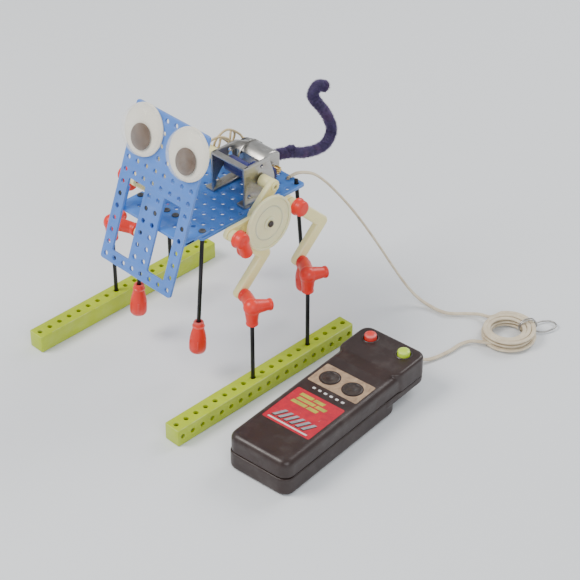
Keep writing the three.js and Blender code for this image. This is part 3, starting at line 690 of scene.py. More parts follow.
def cord():
    paint = mottled("flat_cord", (160, 4, 0.6), (0.3, 0.75),
                    ((0.75, 0.66, 0.49, 1), (0.58, 0.47, 0.33, 1)), (0.38, 0.55),
                    ((1500, 2), 0.25, 0.00008),
                    ((900, 2), (0.6, 0.8, 0, 0.3), (0.45, 0.38, 0.28, 1)))
    turns = coil_turns()
    route = CORD_TO_COIL + turns + CORD_TO_REMOTE
    points = catmull(route[:len(CORD_TO_COIL)] + turns[:1], 2)[:-1] + turns
    points += catmull(turns[-1:] + CORD_TO_REMOTE, 3)[1:]
    fine = catmull(points, 3)

    # The cord's two cores lie side by side, so its section has a waist.
    section = []
    for k in range(16):
        angle = 2 * math.pi * k / 16
        wide = math.cos(angle) * CORD_WIDTH / 2
        waist = 1 - 0.28 * math.exp(-(wide / 0.45) ** 2)
        section.append((wide, math.sin(angle) * CORD_THICK / 2 * waist * 1.05))
    shape = Shape()
    count = len(fine)
    up = Vector((0, 0, 1))
    side = Vector((1, 0, 0))
    rings = []
    for i, point in enumerate(fine):
        ahead = (fine[min(i + 1, count - 1)] - fine[max(i - 1, 0)]).normalized()
        level = ahead.cross(up)
        if level.length > 0.05:
            level.normalize()
            if level.dot(side) < 0 and i:
                level.negate()
            side = (side * 0.8 + level * 0.2)
        side = (side - ahead * side.dot(ahead)).normalized()
        across = ahead.cross(side)
        rings.append([point + side * x + across * y for x, y in section])
    vertices = [p for ring in rings for p in ring]
    faces = tube_faces(count, 16)
    faces.append(list(range(16))[::-1])
    faces.append([(count - 1) * 16 + k for k in range(16)])
    shape.add(vertices, faces, [0] * len(vertices))
    piece = made_of("flat_cord", shape, paint.material, "frame",
                    ("cord_to_coil", "cord_coil", "cord_to_remote"), 60)
    path = [ROBOT @ Vector(p) for p in points]
    length = sum((a - b).length for a, b in zip(path, path[1:]))
    return piece, path, length


flex, flex_path, flex_length = cord()


def twist_tie():
    """A twisted wire tie: two turns round the coil and a long open loop beside it."""
    shape = Shape()
    centre = Vector((COIL["x"] + 10.5, COIL["y"] + 25, 1.1))
    turn = Matrix.Rotation(math.radians(-22), 3, "Z")
    loop = []
    for i in range(40):
        angle = 2 * math.pi * i / 40
        bend = 1 + 0.06 * math.sin(3 * angle)
        loop.append(centre + turn @ Vector((5.4 * math.cos(angle), 8.1 * bend * math.sin(angle),
                                            0.35 * math.sin(2 * angle) + 0.3)))
    shape.pipe(loop, 0.55, 8, closed=True)
    for start in (64, 71):
        around = []
        for i in range(28):
            angle = 2 * math.pi * i / 28
            radius = 14.2 + 6.0 * math.cos(angle)
            height = 5.2 + 4.9 * math.sin(angle)
            x, y = polar((COIL["x"], COIL["y"]), radius, start + 3 * math.sin(angle / 2))
            around.append((x, y, max(height, 0.6)))
        shape.pipe(around, 0.5, 8, closed=True)
    return made_of("twist_tie_wire", shape, STEEL, "frame", ("twist_tie",), 60)


tie = twist_tie()


# ---------------------------------------------------------------- perforated plates
def column_x(index, columns):
    return (index - (columns - 1) / 2) * PITCH


def body_plate():
    half = BODY["width"] / 2
    loops = [rectangle(-half, half, BODY["front"], BODY["rear"], 2)]
    for row in range((BODY["rear"] - BODY["front"]) // PITCH):
        for column in range(BODY["width"] // PITCH):
            loops.append(hole(column_x(column, 8), BODY["front"] + (row + 0.5) * PITCH, HOLE_R))
    shape = Shape().slab(loops, soft_edges(BODY["top"] - BODY["thick"], BODY["top"], 0.35))
    made_of("body_plate_moulding", shape, BODY_BLUE, "frame", ("body_plate",))


def face_plate():
    half = HEAD["width"] / 2
    loops = [rectangle(-half, half, 0, HEAD["height"], 2)]
    for row in range(HEAD["height"] // PITCH):
        for column in range(HEAD["width"] // PITCH):
            if not (1 <= row <= 6 and column in (1, 2, 5, 6)):
                loops.append(hole(column_x(column, 8), (row + 0.5) * PITCH, HOLE_R))
    for side in (-1, 1):
        x = side * 2 * PITCH
        loops.append(rectangle(x - PITCH + 0.5, x + PITCH - 0.5, PITCH, 7 * PITCH, 1)[::-1])
    shape = Shape().slab(loops, soft_edges(-HEAD["thick"], 0, 0.35))
    made_of("face_plate_moulding", shape, HEAD_BLUE, "frame", ("head_plate",), place=FACE)


body_plate()
face_plate()


def ribbon(points, half):
    """The outline of a thin bent strip seen from its edge, with square ends."""
    there = [Vector(p).to_2d() for p in points]
    left, right = [], []
    for i, point in enumerate(there):
        before = point - there[i - 1] if i else there[1] - point
        after = there[i + 1] - point if i < len(there) - 1 else before
        heading = (before.normalized() + after.normalized()).normalized()
        normal = Vector((-heading.y, heading.x))
        reach = half / max(heading.dot(before.normalized()), 0.5)
        left.append(point + normal * reach)
        right.append(point - normal * reach)
    return [tuple(p) for p in right + left[::-1]]


def filleted(start, corner, end, radius, steps=6):
    """A line from start to end with a round bend near the corner."""
    start, corner, end = (Vector(p).to_2d() for p in (start, corner, end))
    first = (start - corner).normalized()
    second = (end - corner).normalized()
    points = [start]
    for i in range(steps + 1):
        t = i / steps
        a = corner + first * radius * (1 - t)
        b = corner + second * radius * t
        points.append(a * (1 - t) + b * t)
    points.append(end)
    return [tuple(p) for p in points]


def in_head(up, out):
    """Where a point of the head plate's middle line lies in the robot's (Y, Z)."""
    lean = math.radians(HEAD["lean"])
    return (HEAD["y"] + up * math.sin(lean) - out * math.cos(lean),
            HEAD["z"] + up * math.cos(lean) + out * math.sin(lean))


def neck_bracket():
    low = BODY["top"] + 0.05
    half = NECK["half"]
    loops = [rectangle(-half, half, NECK["front"], NECK["rear"], 0.6)]
    for x in (-28, -20, -12, -4, 4, 12, 20, 28):
        loops.append(hole(x, BODY["front"] + PITCH / 2, HOLE_R))
    for x in (-20, -12, 12, 20):
        loops.append(hole(x, BODY["front"] + PITCH / 2 - PITCH, HOLE_R))
    shape = Shape().slab(loops, soft_edges(low, low + NECK["thick"], 0.35))
    middle = low + NECK["thick"] / 2
    top = in_head(33.6 + NECK["reach"], -HEAD["thick"] - 0.1 - NECK["thick"] / 2)
    foot = in_head(34.6, -HEAD["thick"] - 0.1 - NECK["thick"] / 2)
    line = filleted((-22, middle), foot, top, 3.2)
    for x0, x1 in ((-NECK["centre_half"], NECK["centre_half"]), (NECK["ear_inner"], half),
                   (-half, -NECK["ear_inner"])):
        shape.slab([ribbon(line, NECK["thick"] / 2)], soft_edges(x0, x1, 0.4), ACROSS)
    made_of("neck_bracket_moulding", shape, BODY_BLUE, "frame", ("neck_bracket",))


def push_rivet(shape, place, reach=4.6):
    """A plastic push rivet: a low round head and a stem with a barb."""
    shape.lathe([(0, 1.1, 0), (1.3, 1.0, 0.4), (2.1, 0.65, 1), (2.35, 0.2, 0.4), (2.35, 0, 0),
                 (1.4, 0, 0), (1.4, -reach + 1.2, 0), (1.75, -reach + 0.6, 1), (1.0, -reach, 0),
                 (0, -reach, 0)], 20, place)


def rivets():
    """Rivets that join the neck to the body plate and to the back of the face."""
    shape = Shape()
    for x in (-28, -4, 4, 28):
        y = BODY["front"] + PITCH / 2
        push_rivet(shape, shifted(x, y, BODY["top"] + NECK["thick"] + 0.05))
    made_of("neck_rivets", shape, BLACK_PLASTIC, "frame", ())
    shape = Shape()
    for x, up in ((-28, 44), (4, 44), (-4, 44), (28, 44)):
        place = shifted(x, up, -HEAD["thick"] - NECK["thick"] - 0.1)
        push_rivet(shape, place @ Matrix.Rotation(math.pi, 4, "X"), 3.9)
    made_of("face_rivets", shape, BLACK_PLASTIC, "frame", (), place=FACE)


# ---------------------------------------------------------------- eyes
def eye_clear_paint():
    paint = Paint("clear_blister")
    smear = paint.noise(120, 5, 0.65, distort=1.2)
    paint.set(Roughness=paint.spread(smear, 0.45, 0.8, 0.03, 0.16))
    paint.set(Normal=paint.bump(paint.noise(45, 2), 0.15, 0.0004))
    tint = paint.mix(paint.spread(smear, 0.4, 0.8), (0.95, 0.95, 0.94, 1), (0.86, 0.85, 0.82, 1))
    edge = paint.put("ShaderNodeLayerWeight", {"Blend": 0.28}).outputs["Facing"]
    haze = paint.spread(smear, 0.45, 0.8, 0.0, 0.05)
    paint.set(Base_Color=tint, Alpha=paint.plus(paint.spread(edge, 0.1, 1.0, 0.03, 0.42), haze))
    paint.shader.inputs["IOR"].default_value = 1.5
    return paint.material


def eyes():
    clear = eye_clear_paint()
    white = mottled("eye_white_plastic", (60, 4), (0.3, 0.7),
                    ((0.88, 0.85, 0.74, 1), (0.80, 0.75, 0.62, 1)), (0.35, 0.5),
                    ((1200, 3), 0.3, 0.00006)).material
    dark = mottled("pupil_plastic", (150, 4), (0.3, 0.7),
                   ((0.058, 0.025, 0.006, 1), (0.108, 0.050, 0.015, 1)), (0.28, 0.45),
                   ((900, 2), 0.25, 0.00006),
                   ((1400, 2), (0.66, 0.78, 0, 0.25), (0.4, 0.35, 0.3, 1))).material
    crown, wall = 7.0, 2.0
    outer_r, thick = EYE["r"] - 0.1, 0.55

    def crown_line(radius, base, top, steps=14):
        line = []
        for i in range(steps + 1):
            angle = math.pi / 2 * i / steps
            line.append((radius * math.cos(angle) ** 0.82,
                         base + (top - base) * math.sin(angle) ** 1.1, 0))
        line[-1] = (0, top, 0)
        return line

    for side, label in SIDES:
        at = FACE @ shifted(side * EYE["x"], EYE["up"], 0)
        shape = Shape().lathe([(0, 0.05, 0), (16.1, 0.05, 0), (16.5, 0.35, 1), (16.5, 0.95, 1),
                               (16.2, 1.3, 1), (15.7, 1.3, 0), (15.3, 1.12, 0), (0, 1.12, 0)], 64)
        made_of(f"eye_backing_{label}", shape, white, "frame", (f"eye_back_{label}",),
                place=at)
        outer = [(outer_r + 0.1, 1.32, 1), (outer_r + 0.1, 1.75, 1), (outer_r - 0.35, 2.0, 0.5)]
        lift = 1.6
        outer += crown_line(outer_r - 0.5, wall + lift, crown + lift)
        inner = crown_line(outer_r - 0.5 - thick, wall + lift, crown + lift - thick)[::-1]
        inner += [(outer_r - 0.5 - thick, 1.32, 0), (outer_r + 0.1, 1.32, 0)]
        shape = Shape().lathe(outer + inner, 64)
        made_of(f"eye_blister_{label}", shape, clear, "frame", (f"eye_dome_{label}",),
                place=at)
        disc = shifted(0, -EYE["drop"], 0)
        shape = Shape().lathe([(0, 1.5, 0), (7.7, 1.5, 0), (8.2, 1.8, 1), (8.3, 2.2, 1),
                               (8.1, 2.6, 1), (7.4, 2.75, 0.4), (4, 2.85, 0), (0, 2.9, 0)], 48, disc)
        made_of(f"pupil_disc_{label}", shape, dark, f"pupil_{label}", (f"pupil_{label}",),
                place=at)


# ---------------------------------------------------------------- chenille tail
TAIL_LINE = [
    (0, 66.8, 107.7), (0, 71, 108.3), (0, 77, 108.2), (0, 88, 105), (0, 105, 98), (0, 121, 96.5),
    (0, 127.5, 104), (0, 123, 118), (0, 114, 131), (0, 109.5, 139), (0, 114.5, 143.5),
    (0, 121.5, 140),
]


def plush_paint():
    paint = Paint("chenille_pile")
    tuft = paint.noise(420, 3, 0.6)
    tone = paint.noise(90, 3)
    base = paint.mix(paint.spread(tuft, 0.3, 0.7), (0.020, 0.014, 0.052, 1), (0.050, 0.032, 0.105, 1))
    base = paint.mix(paint.spread(tone, 0.5, 0.72, 0, 0.4), base, (0.10, 0.022, 0.085, 1))
    tips = paint.spread(paint.attribute("wear_and_highlight"), 0.6, 1.0, 0, 0.35)
    base = paint.mix(tips, base, (0.16, 0.10, 0.30, 1))
    paint.set(Base_Color=base, Roughness=paint.spread(tuft, 0.3, 0.7, 0.6, 0.85))
    paint.shader.inputs["Sheen Weight"].default_value = 0.5
    paint.shader.inputs["Sheen Roughness"].default_value = 0.4
    paint.shader.inputs["Sheen Tint"].default_value = (0.5, 0.35, 0.8, 1)
    paint.set(Normal=paint.bump(tuft, 0.5, 0.0002))
    return paint.material


def pile(shape, line, radius, bristles, draw):
    """A stem of pile along a line: a dense core and short bristles that stand out all round."""
    count = len(line)
    core = [p + Vector((draw.uniform(-0.15, 0.15), 0, 0)) for p in line]
    shape.pipe(core, radius - 0.1, 16, taper=lambda t: 0.95 + 0.05 * math.sin(t * 190))
    for n in range(bristles):
        where = n / bristles * (count - 1.001)
        i = int(where)
        point = line[i].lerp(line[i + 1], where - i)
        ahead = (line[i + 1] - line[i]).normalized()
        side = ahead.orthogonal().normalized()
        across = ahead.cross(side)
        angle = n * 2.399963 + draw.uniform(-0.35, 0.35)
        outward = side * math.cos(angle) + across * math.sin(angle)
        lean = ahead * draw.uniform(-0.45, 0.45)
        lean += outward.cross(ahead) * draw.uniform(-0.4, 0.4)
        reach = radius + draw.uniform(0.2, 1.15)
        root = point + outward * (radius - 0.5)
        tip_point = point + (outward + lean * 0.45).normalized() * reach
        width = draw.uniform(0.10, 0.17)
        round_root = outward.cross(ahead).normalized()
        corners = [root + ahead * width, root - ahead * width * 0.5 + round_root * width * 0.9,
                   root - ahead * width * 0.5 - round_root * width * 0.9]
        droop = Vector((0, 0, -draw.uniform(0, 0.12)))
        shape.add(corners + [tip_point + droop], [[0, 1, 3], [1, 2, 3], [2, 0, 3], [2, 1, 0]],
                  [0.2, 0.2, 0.2, 1.0])


def tail():
    draw = random.Random(21)
    shape = Shape()
    line = catmull(TAIL_LINE, 12)
    pile(shape, line, TAIL_R, 10000, draw)
    folded_end = [(0.4, 85.5, 107.3), (0.8, 88.5, 108.0), (0.4, 91.5, 106.4)]
    pile(shape, catmull(folded_end, 8), TAIL_R - 1.2, 700, draw)
    start = line[0]
    shape.pipe([start + Vector((0, 0.5, 0)), start + Vector((0, -1.6, -0.2)),
                start + Vector((0, -3.4, -1.6)), start + Vector((0, -3.8, -5.5))], 0.5, 8)
    made_of("tail_chenille", shape, plush_paint(), "frame", ("tail",), 180)


# ---------------------------------------------------------------- gearbox, gears and motor
def gear_loop(teeth, phase, centre):
    pitch_r = GEAR["module"] * teeth / 2
    step = 360 / teeth
    tooth = math.degrees(GEAR["module"] * math.pi / 2 / pitch_r)
    loop = []
    for i in range(teeth):
        middle = phase + i * step
        for radius, share in ((pitch_r - GEAR["root"], -0.5), (pitch_r, -0.40),
                              (pitch_r + GEAR["tip"], -0.22), (pitch_r + GEAR["tip"], 0.22),
                              (pitch_r, 0.40), (pitch_r - GEAR["root"], 0.5)):
            loop.append(polar(centre, radius, middle + tooth * share))
    return loop


def drive_gear():
    shape = Shape()
    loops = [gear_loop(GEAR["big"], LAY_ANGLE, AXLE_AT), hole(*AXLE_AT, 6.4, 32)]
    shape.slab(loops, soft_edges(*FINAL_FACE, 0.12, 1), ACROSS)
    web = [circle(*AXLE_AT, 6.6, 32)]
    for i in range(4):
        web.append(hole(*polar(AXLE_AT, 4.4, 45 + 90 * i), 0.9, 10))
    web.append(hole(*AXLE_AT, 1.3, 16))
    shape.slab(web, soft_edges(FINAL_FACE[0] + 0.7, FINAL_FACE[1] - 0.7, 0.1, 1), ACROSS)
    hub = [circle(*AXLE_AT, 5.2, 24), hole(*AXLE_AT, 1.3, 16)]
    shape.slab(hub, soft_edges(BOX["far"] + BOX["wall"] + 0.3, FINAL_FACE[0] + 0.5, 0.3), ACROSS)
    made_of("drive_gear_moulding", shape, GEAR_BLUE, "crank", ("drive_gear",))


def lay_gear():
    gap = 180 / GEAR["small"]
    shape = Shape()
    small = [gear_loop(GEAR["small"], LAY_ANGLE + 180 + gap, LAY_AT)]
    shape.slab(small, soft_edges(FINAL_FACE[0], FIRST_FACE[0] + 0.4, 0.12, 1), ACROSS)
    big = [gear_loop(GEAR["big"], MOTOR_ANGLE, LAY_AT), hole(*LAY_AT, 6.4, 32)]
    shape.slab(big, soft_edges(*FIRST_FACE, 0.12, 1), ACROSS)
    web = [circle(*LAY_AT, 6.6, 32)]
    for i in range(5):
        web.append(hole(*polar(LAY_AT, 4.3, 72 * i), 1.0, 10))
    shape.slab(web, soft_edges(FIRST_FACE[0] + 0.8, FIRST_FACE[1] - 0.8, 0.1, 1), ACROSS)
    made_of("lay_gear_moulding", shape, GEAR_BLUE, "layshaft", ("lay_gear",))
    shaft = bar_shape(Shape(), (BOX["far"] - 0.6, *LAY_AT), (BOX["near"] + 0.6, *LAY_AT), 0.9, 16, 0.2)
    made_of("lay_shaft", shaft, STEEL, "layshaft", ())


def pinion():
    gap = 180 / GEAR["small"]
    shape = Shape()
    teeth = [gear_loop(GEAR["small"], MOTOR_ANGLE + 180 + gap, MOTOR_AT)]
    shape.slab(teeth, soft_edges(FIRST_FACE[0] - 0.6, FIRST_FACE[1], 0.12, 1), ACROSS)
    bar_shape(shape, (MOTOR["front"] + 0.3, *MOTOR_AT), (FIRST_FACE[1] + 0.6, *MOTOR_AT), 0.8, 12, 0.15)
    made_of("brass_pinion", shape, BRASS, "motor_shaft", ("motor_pinion",))


def box_side_loop(rear, shoulder):
    outline = [(BOX["front"], BOX["low"]), (rear, BOX["low"]), (rear, BOX["high"] - shoulder),
               (BOX["front"] + 21, BOX["high"]), (BOX["front"], BOX["high"])]
    loop = []
    count = len(outline)
    for i, corner in enumerate(outline):
        here = Vector(corner)
        back = (Vector(outline[i - 1]) - here).normalized() * 1.2
        ahead = (Vector(outline[(i + 1) % count]) - here).normalized() * 1.2
        for k in range(4):
            t = k / 3
            loop.append(tuple(here + back * (1 - t) ** 2 + ahead * t ** 2))
    return loop


def pan_screw(shape, place, radius=1.9, height=1.3):
    """A pan-head screw with a cross recess, its head's flat underside on the place's plane."""
    cross = []
    for i in range(4):
        for angle, reach in ((-14, radius * 0.62), (14, radius * 0.62), (45, radius * 0.2)):
            cross.append(polar((0, 0), reach, 90 * i + angle))
    outer = circle(0, 0, radius, 24)
    shape.slab([outer], [(0, 0, 0), (0, height * 0.45, 0.2), (radius * 0.08, height * 0.75, 1),
                         (radius * 0.22, height * 0.93, 0.6)], place)
    shape.slab([circle(0, 0, radius * 0.8, 24), cross[::-1]],
               [(0, height * 0.5, 0), (0, height, 0)], place)


def gearbox():
    for label, x0, rear, shoulder in (("left", BOX["near"] - BOX["wall"], BOX["near_rear"], 14),
                                      ("right", BOX["far"], BOX["rear"], 11)):
        near = label == "left"
        loops = [box_side_loop(rear, shoulder), hole(*AXLE_AT, 1.6, 20),
                 hole(BOX["front"] + 4, BOX["low"] + 6.5, 1.3, 14),
                 hole(BOX["front"] + 15, BOX["high"] - 4, 1.3, 14)]
        if near:
            loops.append(hole(*LAY_AT, 1.1, 14))
        else:
            loops.append(hole(*MOTOR_AT, MOTOR["r"] + 0.3, 40))
        shape = Shape().slab(loops, soft_edges(x0, x0 + BOX["wall"], 0.28), ACROSS)
        foot_rear = BOX["front"] + 16 if near else BOX["rear"]
        feet = [rectangle(x0 - 6, x0 + BOX["wall"], BOX["front"], foot_rear, 1.2)]
        for y in (BOX["front"] + 4.2, foot_rear - 4):
            feet.append(hole(x0 - 3, y, 1.2, 14))
        shape.slab(feet, soft_edges(BOX["low"] - 1.3, BOX["low"] + 0.2, 0.25))
        if near:
            strap = [rectangle(BOX["far"] + 0.2, BOX["near"] - 0.2, BOX["front"], BOX["front"] + 4.4, 0.6)]
            shape.slab(strap, soft_edges(BOX["high"] - 1.5, BOX["high"], 0.28))
        made_of(f"gearbox_plate_{label}", shape, STEEL, "frame",
                ("gearbox_side_left", "gearbox_strap") if near else ("gearbox_side_right",))
    screws = Shape()
    for x, y in ((BOX["far"] - 3, BOX["front"] + 4.2), (BOX["far"] - 3, BOX["rear"] - 4),
                 (BOX["near"] - BOX["wall"] - 3, BOX["front"] + 12)):
        pan_screw(screws, shifted(x, y, BOX["low"] + 0.2))
    made_of("gearbox_screws", screws, STEEL, "frame", ())


def flat_sided(radius, flat, count=24):
    """A round loop cut by two flats, drawn in (Y, Z) about the motor's shaft."""
    half = math.degrees(math.acos(flat / radius))
    loop = []
    for start in (half, half + 180):
        sweep = 180 - 2 * half
        loop += [polar((0, 0), radius, start + sweep * i / count) for i in range(count + 1)]
    return [(MOTOR_AT[0] + y, MOTOR_AT[1] + z) for y, z in loop]


def motor():
    shape = Shape()
    radius, flat = MOTOR["r"], MOTOR["flat"]
    can = flat_sided(radius, flat)
    shape.slab([can], soft_edges(MOTOR["rear"], MOTOR["front"] - 0.1, 1.3, 4), ACROSS)
    boss = [circle(*MOTOR_AT, 3, 28), hole(*MOTOR_AT, 0.95, 14)]
    shape.slab(boss, soft_edges(MOTOR["front"] - 0.3, MOTOR["front"] + 1.6, 0.3), ACROSS)
    for angle in (90, 270):
        y, z = polar(MOTOR_AT, radius - 0.25, angle)
        shape.slab([rectangle(4, 13, y - 1.8, y + 1.8, 0.8)], soft_edges(-0.45, 0.25, 0.2),
                   shifted(0, 0, z))
    made_of("motor_can", shape, STEEL, "frame", ("motor",))
    cap = Shape()
    cap.slab([flat_sided(radius - 0.7, flat - 0.5)],
             soft_edges(MOTOR["rear"] - 2.2, MOTOR["rear"] + 0.4, 0.5, 2), ACROSS)
    cap.slab([circle(*MOTOR_AT, 7.2, 36)],
             soft_edges(MOTOR["cap_rear"], MOTOR["rear"] - 1.5, 0.7, 3), ACROSS)
    cap.slab([circle(*MOTOR_AT, 3.1, 24)],
             soft_edges(MOTOR["cap_rear"] - 1.6, MOTOR["cap_rear"] + 0.5, 0.5, 3), ACROSS)
    for side in (-1, 1):
        y = MOTOR_AT[0] + side * 4.6
        cap.slab([rectangle(y - 1.4, y + 1.4, MOTOR_AT[1] + 1.4, MOTOR_AT[1] + 4.4, 0.4)],
                 soft_edges(MOTOR["cap_rear"] - 0.8, MOTOR["cap_rear"] + 0.4, 0.2), ACROSS)
    made_of("motor_end_cap", cap, BLACK_PLASTIC, "frame", ())
    tags = Shape()
    for y, z in TERMINALS:
        loops = [stadium((y, z - 1.0), (y, z + 2.6), 1.0, 8),
                 hole(y, z + 2.2, 0.5, 10)]
        tags.slab(loops, soft_edges(TAG_X - 0.2, TAG_X + 0.2, 0.08, 1), ACROSS)
        tags.lathe([(0, 0.9, 0), (0.7, 0.7, 0), (1.0, 0.2, 1), (0.8, -0.4, 0), (0, -0.5, 0)], 12,
                   shifted(TAG_X - 0.5, y, z + 2.2) @ Matrix.Rotation(-math.pi / 2, 4, "Y"))
    made_of("motor_terminals", tags, BRASS, "frame", ())


def leads():
    """The cord's two cores, split and soldered to the motor, threaded through the body plate."""
    paint = mottled("lead_insulation", (200, 3), (0.3, 0.7),
                    ((0.72, 0.58, 0.34, 1), (0.55, 0.42, 0.22, 1)), (0.35, 0.5),
                    ((1500, 2), 0.25, 0.00006))
    top = BODY["top"]
    shape = Shape()
    for k, (y, z) in enumerate(TERMINALS):
        lift = 2.6 if k else 0
        route = [(TAG_X - 0.6, y, z + 2.2), (TAG_X - 2.4, y - 1.5, z + 5.5),
                 (TAG_X - 5.0, y - 7 - lift, z + 8.4 + lift), (TAG_X - 8.0, y - 13 - lift, z + 6.0),
                 (TAG_X - 9.6, y - 14 - lift, z - 0.5), (TAG_X - 8.2, y - 9, z - 4.5),
                 (TAG_X - 6.0, y - 7, z + 1.0), (TAG_X - 7.4, y - 4, z + 4.5 + lift),
                 (TAG_X - 9.6, y + 1, z + 1.5), (TAG_X - 9.8, 57.5 + k, z - 6),
                 (-20 + 1.2 * k - 0.6, 59, top + 3),
                 (-20 + 1.2 * k - 0.6, 59, top - 3.2), (-16, 59.4 + k, top - 5.4 - k),
                 (-4, 61 + k, top - 6.2), (10, 64 + k, top - 5.8), (17.5, 66.4 + k * 0.6, top - 4.6),
                 (20.2 + k * 0.4 - 0.2, 67 + k * 0.3, top - 1.6),
                 (20.6 + k * 0.3, 66.9 + k * 0.4, top + 1.0), (22, 67.0 + k * 1.0, top + 1.9)]
        shape.pipe(catmull(route, 6), 0.78, 10)
    made_of("motor_leads", shape, paint.material, "frame", (), 60)


# ---------------------------------------------------------------- cranks
def crank_axle():
    shape = bar_shape(Shape(), (-AXLE["half"], *AXLE_AT), (AXLE["half"], *AXLE_AT), AXLE["r"], 20, 0.3)
    made_of("crank_axle_bar", shape, STEEL, "crank", ("crank_axle",))


def mirrored(side):
    """Across for the robot's left side, and its mirror image for the right."""
    return Matrix.Scale(side, 4, (1, 0, 0)) @ ACROSS


def crank_arm(side, label):
    hub_start = BOX["near"] + 1 if side > 0 else -BOX["far"] + 1
    place = mirrored(side)
    pin = (PIN["y"], PIN["z"])
    shape = Shape()
    bore = hole(*AXLE_AT, 1.28, 16)
    shape.slab([stadium(AXLE_AT, pin, ARM["half"]), bore],
               soft_edges(ARM["inner"], ARM["outer"], 0.7, 3), place)
    shape.slab([circle(*AXLE_AT, ARM["hub_r"], 28), bore],
               soft_edges(hub_start, ARM["inner"] + 1, 0.4, 3), place)
    shape.slab([circle(*AXLE_AT, 2.9, 24), bore],
               soft_edges(ARM["outer"] - 0.5, ARM["outer"] + 0.9, 0.3), place)
    shape.slab([circle(*pin, 3.2, 24)], soft_edges(ARM["outer"] - 0.5, ARM["outer"] + 0.6, 0.25), place)
    shape.slab([circle(*pin, PIN["r"], 20)], soft_edges(ARM["outer"], PIN["end"], 0.4, 2), place)
    made_of(f"crank_arm_{label}_moulding", shape, CREAM, "crank", (f"crank_arm_{label}",))


def crank_disc(side, label):
    place = mirrored(side)
    pin = (PIN["y"], PIN["z"])
    bore = hole(*pin, 1.7, 18)
    inner, outer = DISC["inner"], DISC["outer"]
    shape = Shape()
    shape.slab([circle(*pin, DISC["r"], 72), hole(*pin, DISC["r"] - 1.7, 72)],
               soft_edges(inner, outer, 0.5, 3), place)
    shape.slab([circle(*pin, DISC["r"] - 1.5, 72), bore], soft_edges(inner + 0.2, inner + 1.3, 0.1, 1),
               place)
    shape.slab([circle(*pin, 4.2, 32), bore], soft_edges(inner, outer, 0.45, 3), place)
    ring = [circle(*pin, 11.4, 56), hole(*pin, 10.9, 56)]
    shape.slab(ring, soft_edges(inner + 1.0, inner + 1.45, 0.2), place)
    made_of(f"crank_disc_{label}_moulding", shape, MILKY, "crank", (f"crank_disc_{label}",))
    head = Shape().lathe([(0, -0.4, 0), (2.1, -0.4, 0), (2.1, 0.1, 1), (1.7, 0.6, 1), (0.9, 0.9, 0.3),
                          (0, 0.95, 0)], 24, place @ shifted(*pin, PIN["end"]))
    made_of(f"crank_pin_cap_{label}", head, BROWN, "crank")


# ---------------------------------------------------------------- ski frames
def hips():
    return (PIN["y"] - HIP["reach"], PIN["z"]), (PIN["y"] + HIP["reach"], PIN["z"])


def rail_y(index):
    return (index - (RAIL["holes"] - 1) / 2) * PITCH


def hip_bar(side, label):
    front, rear = hips()
    place = mirrored(side)
    loops = [stadium(front, rear, BAR["half"], 12)]
    for k in range(-3, 4):
        radius = 1.7 if k == 0 else BORE_R
        loops.append(hole(PIN["y"] + k * HIP["reach"] / 3, PIN["z"], radius, 18))
    shape = Shape().slab(loops, soft_edges(BAR["inner"], BAR["outer"], 0.5, 3), place)
    made_of(f"hip_bar_{label}_moulding", shape, CREAM, f"ski_{label}", (f"hip_bar_{label}",))


def leg(side, label, end, hip):
    knee = (hip[0] + KNEE_STEP[0], hip[1] + KNEE_STEP[1])
    ankle = (knee[0] + ANKLE_STEP[0], knee[1] + ANKLE_STEP[1])
    place = mirrored(side)
    shape = Shape()
    loops = [bent_bar(hip, knee, ankle, LEG["half"], 12),
             hole(*hip, BORE_R, 18), hole(*ankle, BORE_R, 18)]
    shape.slab(loops, soft_edges(LEG["inner"], LEG["outer"] - 0.1, 1.25, 4), place)
    made_of(f"leg_{end}_{label}_moulding", shape, CREAM, f"ski_{label}", (f"leg_{end}_{label}",))
    return ankle


def blended(build, voxel=0.42, smooth=6):
    """Fuses the shape's overlapping bars into one moulding with soft inner corners."""
    shape = Shape()
    build(shape)
    rough = shape.mesh("rough")
    return applied(rough, ("REMESH", {"mode": "VOXEL", "voxel_size": voxel}),
                   ("SMOOTH", {"factor": 0.5, "iterations": smooth}))


def hip_connector_mesh(side, hip, with_spur):
    def at(x, dy=0.0, dz=0.0):
        return side * x, hip[0] + dy, hip[1] + dz

    middle = (HIP["inner"] + HIP["outer"]) / 2 + 0.4
    dy, dz = HIP["spur"]

    def build(shape):
        bar_shape(shape, at(HIP["inner"] - 0.1), at(HIP["inner"] + 2.1), HIP["r"], 32, 0.6)
        bar_shape(shape, at(HIP["inner"] + 1), at(HIP["outer"]), HIP["r"] - 0.6, 28, 1.6)
        bar_shape(shape, at(BAR["inner"] - 0.4), at(HIP["inner"] + 1), ROD_R, 16, 0.3)
        if with_spur:
            bar_shape(shape, at(middle), at(middle, dy, dz), HIP["spur_r"], 28, 0.5)
            bar_shape(shape, at(middle, dy * 0.78, dz * 0.78), at(middle, dy * 1.02, dz * 1.02),
                      HIP["spur_r"] + 0.1, 28, 0.5)
    return blended(build)


